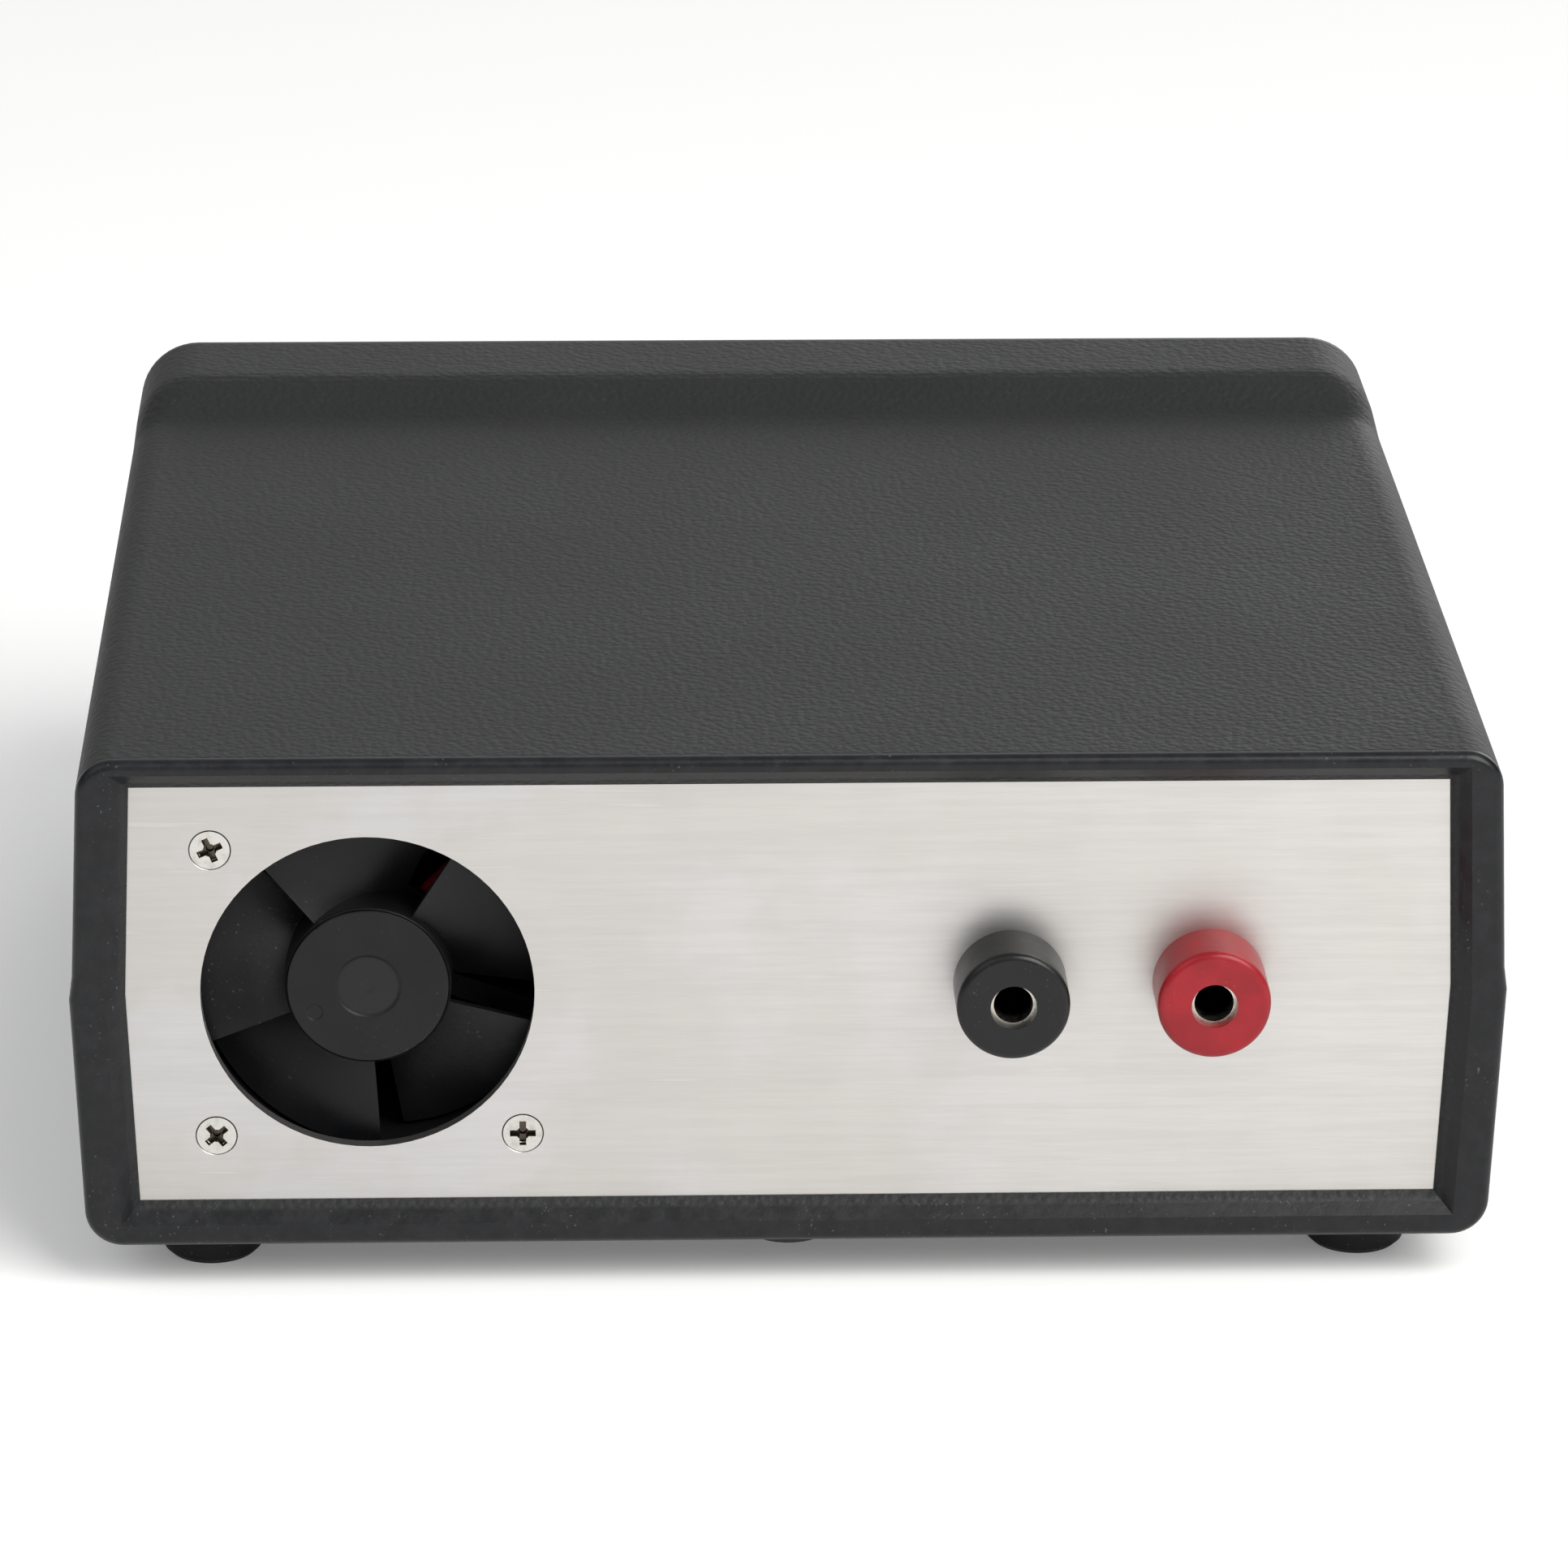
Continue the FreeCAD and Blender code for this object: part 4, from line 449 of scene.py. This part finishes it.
def dark_bore(tree, here, base):
    """Shade inside the sleeves, away from their outer ends at the front and at the rear."""
    rear_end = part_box("input_socket_black_sleeve")[1].y
    front_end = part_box("output_socket_black_sleeve")[0].y
    half = (rear_end - front_end) / 2
    offset = maths(tree, "SUBTRACT", along(tree, here, "Y"), (rear_end + front_end) / 2)
    deep = ramp(tree, maths(tree, "ABSOLUTE", offset), half - 0.7 * MM, half - 3.0 * MM)
    return blended(tree, deep, base, BORE_SHADE)


def plain_metal(name, color, roughness, line=EVEN, lines=2500.0, grime=0.25, shade=None):
    """Small metal parts: a wandering gloss, faint lines, and a darker tarnish in patches."""
    material, tree, shader = new_material(name, Metallic=1.0)
    here = spots(tree, (0, 0, 0))
    stretched = spots(tree, (0, 0, 0), line)
    cut_marks = use_group(tree, fine_lines, {"Vector": stretched, "Lines per metre": lines})
    tarnish = noise(tree, here, 0.9 * MM, detail=4.0, roughness=0.65)
    stain = ramp(tree, tarnish, 0.45, 0.75, 0.0, grime)
    base = blended(tree, stain, color, scaled(color, 0.45))
    if shade:
        base = shade(tree, here, base)
    feed(shader, "Base Color", base)
    wandering(tree, shader, tarnish, roughness, 0.8, 1.35, high=0.75)
    bump(tree, shader, cut_marks.outputs["Height"], 0.01 * MM, 0.25)
    return material


# %% [markdown]
# ### Fan rotor
# The hub is a plain cup with a shallow, polished disc in its middle, left by the mould's core, a soft
# gate mark at the centre and a small round dent to one side. The disc's colour is lighter, a painted
# sheen for its polish. All are far too shallow to model, so distances from the fan's axis drive the
# bump. They must stay on the hub as it turns, so they are measured in the rotor's own space.


# %% Rotor plastic with its moulded marks
ROTOR_DARK = (0.0052, 0.0054, 0.0062)
ROTOR_PALE = (0.0082, 0.0085, 0.0095)
ROTOR_DUST = (0.22, 0.23, 0.25)
# Colour of the painted sheen on the hub's middle disc.
DISC_SHEEN = (0.020, 0.020, 0.021)
DENT_PLACE = (5.6 * MM, 0.0, -2.9 * MM)


def rotor_plastic():
    low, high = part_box("fan_rotor")
    axis = (low + high) / 2
    material, tree, shader = new_material("fan_rotor_plastic", IOR=1.5, Specular_IOR_Level=0.24)
    here = spots(tree, (axis.x, high.y, axis.z))
    squares = [times(tree, along(tree, here, axis), along(tree, here, axis)) for axis in "XZ"]
    radius = maths(tree, "SQRT", plus(tree, *squares))
    face = ramp(tree, along(tree, here, "Y"), -0.15 * MM, -0.02 * MM)
    wide_ring = ramp(tree, radius, 3.15 * MM, 3.6 * MM)
    gate_mark = ramp(tree, radius, 0.25 * MM, 1.0 * MM)
    from_dent = put(tree, "ShaderNodeVectorMath", {0: here, 1: DENT_PLACE}, operation="DISTANCE")
    dent_ring = ramp(tree, from_dent.outputs["Value"], 0.75 * MM, 0.95 * MM)
    steps = plus(tree, wide_ring, times(tree, gate_mark, 0.5))
    steps = plus(tree, steps, times(tree, dent_ring, 0.5))
    steps = times(tree, steps, face)
    patches = noise(tree, here, 7 * MM)
    fine = noise(tree, here, 0.5 * MM)
    settled = use_group(tree, dust, {"Vector": here, "Speck": 0.35 * MM, "Amount": 0.22})
    base = blended(tree, ramp(tree, patches, 0.3, 0.7), ROTOR_DARK, ROTOR_PALE)
    base = blended(tree, settled.outputs["Mask"], base, ROTOR_DUST)
    # Painted sheen: the disc in the hub's middle is coloured lighter, standing in for its polish.
    disc_sheen = times(tree, ramp(tree, radius, 3.3 * MM, 2.9 * MM, 0.0, 0.5), face)
    base = blended(tree, disc_sheen, base, DISC_SHEEN)
    feed(shader, "Base Color", base)
    feed(shader, "Roughness", ramp(tree, patches, 0.3, 0.7, 0.34, 0.44))
    height = plus(tree, steps, times(tree, fine, 0.08))
    bump(tree, shader, height, 0.22 * MM, 1.0)
    return material


# %% [markdown]
# ### Window, board and capacitors
# The display sits behind a pane of smoky red acrylic. Transmission with a dark tint does the work, and
# Fresnel gives it its shine. The pane keeps a plain Transmission Weight, and only its roughness varies.


# %% Tinted acrylic
def tinted_window():
    material, tree, shader = new_material("tinted_acrylic", IOR=1.49, Transmission_Weight=1.0)
    shader.inputs["Base Color"].default_value = (0.72, 0.10, 0.09, 1.0)
    here = spots(tree, (0, 0, 0))
    wiped = noise(tree, here, 12 * MM, detail=4.0)
    feed(shader, "Roughness", ramp(tree, wiped, 0.35, 0.7, 0.02, 0.09))
    return material


# %% Printed board
LACQUER = (0.010, 0.075, 0.028)
LACQUER_ON_COPPER = (0.022, 0.135, 0.045)


def printed_board():
    """Green lacquer over copper tracks that run along and across the board."""
    material, tree, shader = new_material("printed_board", IOR=1.5)
    sideways = noise(tree, spots(tree, (0, 0, 0), (0.15, 1.0, 1.0)), 1.6 * MM, detail=1.0)
    lengthwise = noise(tree, spots(tree, (0, 0, 0), (1.0, 0.15, 1.0)), 1.6 * MM, detail=1.0)
    tracks = maths(tree, "MAXIMUM", ramp(tree, sideways, 0.56, 0.60), ramp(tree, lengthwise, 0.58, 0.62))
    base = blended(tree, tracks, LACQUER, LACQUER_ON_COPPER)
    feed(shader, "Base Color", base)
    shader.inputs["Roughness"].default_value = 0.32
    bump(tree, shader, tracks, 0.03 * MM, 0.6)
    return material


# %% Sleeve of a capacitor, with the pale stripe that marks one side
SLEEVE_BLUE = (0.012, 0.018, 0.07)
SLEEVE_STRIPE = (0.45, 0.46, 0.50)
CAN_TOP = (0.55, 0.55, 0.56)


def capacitor_sleeve():
    low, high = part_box("filter_capacitors")
    material, tree, shader = new_material("capacitor_sleeve", IOR=1.5)
    here = spots(tree, ((low.x + high.x) / 2, 0.0, high.z))
    across = along(tree, here, "X")
    up = along(tree, here, "Z")
    stripe = times(tree, ramp(tree, across, 6.2 * MM, 6.6 * MM), ramp(tree, up, -0.7 * MM, -1.0 * MM))
    end = ramp(tree, up, -0.6 * MM, -0.4 * MM)
    base = blended(tree, stripe, SLEEVE_BLUE, SLEEVE_STRIPE)
    base = blended(tree, end, base, CAN_TOP)
    feed(shader, "Base Color", base)
    patches = noise(tree, here, 4 * MM)
    feed(shader, "Roughness", ramp(tree, patches, 0.3, 0.7, 0.26, 0.36))
    return material


print("recipes ready")

# %% [markdown]
# ## Give every piece its finish
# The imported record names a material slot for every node. Each slot gets one material here, and the
# loop hands it to all the nodes in that slot, so that no piece keeps the plain colour it came with.

# %% One finish for each slot
SOCKET_RED = (0.27, 0.008, 0.014)
SOCKET_BLACK = (0.0065, 0.0067, 0.0074)
FOOT_BLACK = (0.006, 0.006, 0.0064)
NICKEL = (0.62, 0.60, 0.565)
AGED_NICKEL = (0.60, 0.565, 0.50)
ALONG_DEPTH = (1.0, 0.05, 1.0)
FINISHES = {
    "case_plastic": case_plastic(),
    "black_steel": plain_metal("blackened_steel", (0.05, 0.05, 0.052), 0.42),
    "foot_rubber": moulding("foot_rubber", FOOT_BLACK, 0.66, texture=0.35, depth=0.05, specks=0.35),
    "panel_aluminium": brushed_panel("rear_panel_brushed", (0.590, 0.570, 0.545), 0.40),
    "front_panel_finish": brushed_panel("front_panel_brushed", (0.76, 0.74, 0.715), 0.40),
    "fan_plastic": moulding("fan_frame_plastic", (0.006, 0.0062, 0.0072), 0.38, texture=0.5, specks=0.2),
    "fan_rotor_plastic": rotor_plastic(),
    "magnet": moulding("bonded_magnet", (0.045, 0.04, 0.037), 0.6),
    "bright_steel": plain_metal("ground_steel", (0.62, 0.62, 0.62), 0.24, line=ALONG_DEPTH),
    "bronze": plain_metal("sintered_bronze", (0.55, 0.36, 0.18), 0.45),
    "circuit_board": printed_board(),
    "core_steel": plain_metal("laminated_steel", (0.36, 0.36, 0.38), 0.45, (0.1, 1.0, 0.1), 6000.0),
    "copper": plain_metal("enamelled_copper", (0.66, 0.24, 0.09), 0.28),
    # Screw heads, with painted shade in their cross recesses.
    "nickel_screw": plain_metal("screw_nickel", NICKEL, 0.27, lines=4000.0, grime=0.35, shade=shaded_recess),
    "nickel_nut": plain_metal("nut_nickel", (0.66, 0.65, 0.62), 0.30),
    "socket_black": moulding("socket_black", SOCKET_BLACK, 0.32, coat=0.03, specks=0.25, patch=3.0),
    "socket_red": moulding("socket_red", SOCKET_RED, 0.32, coat=0.05, specks=0.12, patch=3.0),
    "sleeve_nickel": plain_metal("sleeve_nickel", AGED_NICKEL, 0.30, ALONG_DEPTH, grime=0.45,
                                 shade=dark_bore),
    "ring_plastic": moulding("insulating_ring", (0.05, 0.05, 0.05), 0.4),
    "pot_case": plain_metal("pot_case_plated", (0.55, 0.55, 0.56), 0.32),
    "knob_plastic": moulding("knob_plastic", (0.022, 0.022, 0.024), 0.42, texture=0.3, depth=0.03),
    "switch_plastic": moulding("switch_plastic", (0.018, 0.018, 0.019), 0.32, texture=0.4),
    "rocker_plastic": moulding("rocker_plastic", (0.38, 0.012, 0.012), 0.24, coat=0.3),
    "window_tint": tinted_window(),
    "digit_block": moulding("digit_block_face", (0.05, 0.05, 0.052), 0.4),
    "sink_aluminium": plain_metal("extruded_aluminium", (0.30, 0.30, 0.31), 0.38, line=(1.0, 0.03, 1.0)),
    "chip_plastic": moulding("chip_plastic", (0.03, 0.03, 0.031), 0.5),
    "ferrite": moulding("core_lacquer", (0.42, 0.36, 0.06), 0.42, texture=0.8, depth=0.06),
    "capacitor_sleeve": capacitor_sleeve(),
    "terminal_plastic": moulding("terminal_plastic", (0.02, 0.19, 0.09), 0.38),
    "lead_black": moulding("lead_black", (0.02, 0.02, 0.021), 0.38, texture=0.9),
    "lead_red": moulding("lead_red", (0.45, 0.012, 0.02), 0.36, texture=0.9),
    "ribbon_grey": moulding("ribbon_grey", (0.38, 0.38, 0.40), 0.42, texture=0.9),
}

for subpart in frame["record"]["subparts"]:
    node = frame["nodes"][subpart["node"]]
    node.data.materials.clear()
    node.data.materials.append(FINISHES[subpart["material_slot"]])


# %% [markdown]
# ## Small pieces that are easier here than in the solid model
# The digits, the paint in the knobs' grooves and the marks printed on the front panel are thin and only
# seen. Each starts from a cube or a cylinder, is shaped by operators, and then put in place as a mesh, so
# that its object can stay at the origin.


# %% Build and place a mesh
def finished(name, mesh, finish, body):
    """Turn a bmesh into an object with a finish that rides on a body."""
    bmesh.ops.remove_doubles(mesh, verts=mesh.verts, dist=1e-7)
    bmesh.ops.recalc_face_normals(mesh, faces=mesh.faces)
    data = bpy.data.meshes.new(name)
    mesh.to_mesh(data)
    mesh.free()
    data.materials.append(finish)
    piece = bpy.data.objects.new(name, data)
    bpy.context.scene.collection.objects.link(piece)
    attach(piece, body)
    print(name, "has", len(data.polygons), "faces")
    return piece


def add_bar(mesh, size, place, round_off=0.0):
    """A box with its middle at a place, its edges rounded if asked."""
    made = bmesh.ops.create_cube(mesh, size=1.0)["verts"]
    bmesh.ops.scale(mesh, vec=size, verts=made)
    if round_off:
        edges = list({edge for vert in made for edge in vert.link_edges})
        rounded = bmesh.ops.bevel(mesh, geom=edges, offset=round_off, offset_type="OFFSET", segments=2,
                                  profile=0.5, affect="EDGES", material=-1)["verts"]
        faces = {face for vert in rounded for face in vert.link_faces}
        made = list({vert for face in faces for vert in face.verts})
    bmesh.ops.transform(mesh, matrix=place, verts=made)


# %% [markdown]
# ### Seven-segment digits
# Each block of the display holds three digits. A segment is a flat bar with pointed ends: bevelling the
# four edges that run through a thin box, by nearly half its width, makes the points. The digits slant
# because each segment is moved sideways by a share of its height. No segment is lit, because the supply
# is unplugged, so they show as dull bars behind the window.

# %% Segment shapes and places
SEGMENT_LONG = 4.0 * MM
SEGMENT_WIDE = 0.8 * MM
SEGMENT_THICK = 0.12 * MM
DIGIT_PITCH = 6.2 * MM
SLANT = math.tan(math.radians(8))
POINT = 0.46 * SEGMENT_WIDE
DOT_RADIUS = 0.5 * MM
DOT_ASIDE = 2.75 * MM
BLOCK_ROUND = 0.35 * MM
segment_plastic = moulding("segment_plastic", (0.62, 0.56, 0.54), 0.35)
HALF = SEGMENT_LONG / 2 + 0.25 * MM
SEGMENTS = [(0, 2 * HALF, 0), (0, 0, 0), (0, -2 * HALF, 0),
            (HALF, HALF, 90), (HALF, -HALF, 90), (-HALF, HALF, 90), (-HALF, -HALF, 90)]


def add_segment(mesh, place):
    """One flat bar with pointed ends."""
    made = bmesh.ops.create_cube(mesh, size=1.0)["verts"]
    bmesh.ops.scale(mesh, vec=(SEGMENT_LONG, SEGMENT_THICK, SEGMENT_WIDE), verts=made)
    edges = {edge for vert in made for edge in vert.link_edges}
    through = [edge for edge in edges if abs(edge.verts[0].co.y - edge.verts[1].co.y) > SEGMENT_THICK / 2]
    points = bmesh.ops.bevel(mesh, geom=through, offset=POINT, offset_type="OFFSET", segments=1,
                             profile=0.5, affect="EDGES", material=-1)
    moved = {vert for face in points["faces"] for vert in face.verts}
    bmesh.ops.transform(mesh, matrix=place, verts=list(moved))


def digit_block(node, name):
    """A block of three digits that stands in for the plain solid of the display."""
    low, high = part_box(node)
    middle = (low + high) / 2
    face = low.y
    body = bmesh.new()
    add_bar(body, high - low, Matrix.Translation(middle), BLOCK_ROUND)
    block = finished(name, body, FINISHES["digit_block"], "housing")
    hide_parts(node)
    bars = bmesh.new()
    for step in (-1, 0, 1):
        for x, z, angle in SEGMENTS:
            spot = Matrix.Translation((middle.x + step * DIGIT_PITCH + x + z * SLANT, face, middle.z + z))
            add_segment(bars, spot @ Matrix.Rotation(math.radians(angle), 4, "Y"))
        dot = bmesh.ops.create_cone(bars, cap_ends=True, segments=20, radius1=DOT_RADIUS,
                                    radius2=DOT_RADIUS, depth=SEGMENT_THICK)["verts"]
        spot = Matrix.Translation((middle.x + step * DIGIT_PITCH + DOT_ASIDE, face, middle.z - 2 * HALF))
        bmesh.ops.transform(bars, matrix=spot @ Matrix.Rotation(math.radians(90), 4, "X"), verts=dot)
    return finished(f"{name}_segments", bars, segment_plastic, "housing")


digit_block("voltage_digits", "voltage_display")
digit_block("current_digits", "current_display")

# %% [markdown]
# ### Paint in the knobs' pointer grooves
# Each knob has a shallow groove from near its middle to its edge, filled with white paint. The filling is
# a bar a hair lower than the knob's face. It rides on the knob's body, so it turns with the knob.

# %% Pointer fillings
PAINT_SIZE = (0.94 * MM, 0.5 * MM, 4.9 * MM)
PAINT_SUNK = 0.31 * MM
PAINT_OUT = 5.0 * MM
white_paint = moulding("white_paint", (0.72, 0.71, 0.68), 0.4, specks=0.0)
for control in ("voltage", "current"):
    low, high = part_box(f"{control}_knob")
    hub = (low + high) / 2
    filling = bmesh.new()
    spot = Matrix.Translation((hub.x, low.y + PAINT_SUNK, hub.z + PAINT_OUT))
    add_bar(filling, PAINT_SIZE, spot, 0.05 * MM)
    finished(f"{control}_pointer_paint", filling, white_paint, f"{control}_control")

# %% [markdown]
# ### Printed marks
# The front panel carries a ring of marks round each knob and a plus and a minus below the output
# sockets. They are screen printed, so each is a film of ink only a few hundredths of a millimetre thick.

# %% Marks on the front panel
INK = 0.03 * MM
MARK_WIDE = 0.4 * MM
MARK_LONG = 2.2 * MM
MARK_SHORT = 1.4 * MM
MARK_RADIUS = 11.2 * MM
MARKS = 11
TRAVEL = math.radians(300)
black_ink = moulding("panel_ink", (0.02, 0.02, 0.021), 0.5, specks=0.0)
panel_low, panel_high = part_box("front_panel")
PANEL_FACE = panel_low.y


def scale_marks(knob):
    """Marks over the knob's travel, the first, middle and last of them longer."""
    low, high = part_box(knob)
    hub = (low + high) / 2
    marks = bmesh.new()
    for step in range(MARKS):
        angle = TRAVEL * (step / (MARKS - 1) - 0.5)
        long = MARK_LONG if step in (0, MARKS // 2, MARKS - 1) else MARK_SHORT
        spot = Matrix.Translation((hub.x, PANEL_FACE - INK / 2, hub.z)) @ Matrix.Rotation(angle, 4, "Y")
        outward = Matrix.Translation((0, 0, MARK_RADIUS + long / 2))
        add_bar(marks, (MARK_WIDE, INK, long), spot @ outward)
    return marks


finished("voltage_scale", scale_marks("voltage_knob"), black_ink, "housing")
finished("current_scale", scale_marks("current_knob"), black_ink, "housing")

# %% Plus and minus below the output sockets
SIGN_LONG = 2.6 * MM
SIGN_WIDE = 0.5 * MM
SIGN_BELOW = 8.6 * MM
polarity = bmesh.new()
for socket_name, is_plus in (("output_socket_black", False), ("output_socket_red", True)):
    low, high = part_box(socket_name)
    middle = (low + high) / 2
    spot = Matrix.Translation((middle.x, PANEL_FACE - INK / 2, middle.z - SIGN_BELOW))
    add_bar(polarity, (SIGN_LONG, INK, SIGN_WIDE), spot)
    if is_plus:
        add_bar(polarity, (SIGN_WIDE, INK, SIGN_LONG), spot)
finished("polarity_marks", polarity, black_ink, "housing")

# %% [markdown]
# ## Stage and light
# The object stands on a plain white floor in a bright, even room. A broad light high on the right gives
# the panel its slight fall-off towards the left, and a bright strip behind on the right runs a highlight
# down the cover's rounded edge. The floor glows a little, more so far away, as a sweep of lit paper does,
# which keeps the shadow soft. What the sky looks like to the camera and what it does to the object are
# kept apart with Light Path, which is allowed here because the sky isn't part of the object.

# %% Floor
FLOOR_SIZE = 14.0
FLOOR_WHITE = (0.93, 0.93, 0.93, 1.0)
GLOW_WHITE = (1.0, 1.0, 1.0, 1.0)
NEAR_GLOW = 0.16
FAR_GLOW = 0.45
NEAR = 0.6
FAR = 3.0
floor_mesh = bmesh.new()
bmesh.ops.create_grid(floor_mesh, x_segments=1, y_segments=1, size=FLOOR_SIZE / 2)
floor_data = bpy.data.meshes.new("studio_floor")
floor_mesh.to_mesh(floor_data)
floor_mesh.free()
floor = bpy.data.objects.new("studio_floor", floor_data)
bpy.context.scene.collection.objects.link(floor)
floor_paper, paper_tree, paper_shader = new_material("floor_paper", Roughness=0.9)
paper_shader.inputs["Base Color"].default_value = FLOOR_WHITE
paper_shader.inputs["Emission Color"].default_value = GLOW_WHITE
here = spots(paper_tree, (0, 0, 0))
away = put(paper_tree, "ShaderNodeVectorMath", {0: here}, operation="LENGTH").outputs["Value"]
feed(paper_shader, "Emission Strength", ramp(paper_tree, away, NEAR, FAR, NEAR_GLOW, FAR_GLOW))
floor_data.materials.append(floor_paper)
print("floor is", FLOOR_SIZE, "m across")


# %% Sky
SKY_BRIGHT = 0.62
SKY_OVERHEAD = 0.8
SKY_BEHIND = 0.90
SKY_DIM = 0.10
SKY_SEEN = 1.2
STRIP = 2.2
STRIP_WAY = (-0.42, -0.90, 0.10)


def bright_parts(tree, way):
    """Bright overhead and on the rear panel's side, where it fades towards the left."""
    left_fade = ramp(tree, along(tree, way, "X"), 0.75, -0.35, 0.22, 1.0)
    facing = times(tree, ramp(tree, along(tree, way, "Y"), -0.35, 0.5), left_fade)
    overhead = times(tree, ramp(tree, along(tree, way, "Z"), 0.25, 0.85), SKY_OVERHEAD)
    return times(tree, maths(tree, "MAXIMUM", overhead, facing), SKY_BRIGHT)


def low_behind(tree, way):
    """A bright wall low down beyond the front, which the top mirrors at a shallow angle."""
    beyond = times(tree, ramp(tree, along(tree, way, "Y"), -0.55, -0.85),
                   ramp(tree, along(tree, way, "Z"), 0.02, 0.12))
    faded = times(tree, beyond, ramp(tree, along(tree, way, "X"), 0.35, -0.10, 0.55, 1.0))
    return times(tree, faded, SKY_BEHIND)


def strip_light(tree, way):
    """A narrow bright patch beyond the front, on the right."""
    near = put(tree, "ShaderNodeVectorMath", {0: way, 1: STRIP_WAY}, operation="DOT_PRODUCT")
    return ramp(tree, near.outputs["Value"], 0.93, 0.985, 0.0, STRIP)


def sky():
    """Light from all these parts for the object, and plain white for the camera."""
    world = bpy.data.worlds.new("studio_sky")
    world.use_nodes = True
    tree = world.node_tree
    tree.nodes.clear()
    way = put(tree, "ShaderNodeTexCoord").outputs["Generated"]
    total = plus(tree, bright_parts(tree, way), plus(tree, strip_light(tree, way), SKY_DIM))
    total = plus(tree, total, low_behind(tree, way))
    seen = put(tree, "ShaderNodeLightPath").outputs["Is Camera Ray"]
    strength = put(tree, "ShaderNodeMix", {0: seen, 2: total, 3: SKY_SEEN}, data_type="FLOAT")
    light = put(tree, "ShaderNodeBackground", {"Strength": strength.outputs[0]})
    put(tree, "ShaderNodeOutputWorld", {"Surface": light.outputs["Background"]})
    bpy.context.scene.world = world


sky()


# %% Lamps
LAMP_SIZE = 1.0
LAMP_AIM = Vector((0.0, 0.0, 0.03))
WARM_WHITE = (1.0, 0.99, 0.97)
COOL_WHITE = (0.96, 0.98, 1.0)


def lamp(name, place, watts, tint):
    """A square soft box that points at the object."""
    data = bpy.data.lights.new(name, "AREA")
    data.shape = "SQUARE"
    data.size = LAMP_SIZE
    data.energy = watts
    data.color = tint
    holder = bpy.data.objects.new(name, data)
    bpy.context.scene.collection.objects.link(holder)
    direction = LAMP_AIM - Vector(place)
    turn = direction.to_track_quat("-Z", "Y").to_matrix().to_4x4()
    holder.matrix_world = Matrix.Translation(place) @ turn


lamp("high_right", (-0.75, 0.85, 1.05), 22.0, WARM_WHITE)
lamp("high_left", (0.9, 0.7, 1.0), 3.0, COOL_WHITE)
bpy.context.scene.view_settings.view_transform = "Standard"
print("lamps:", [item.name for item in bpy.data.lights])
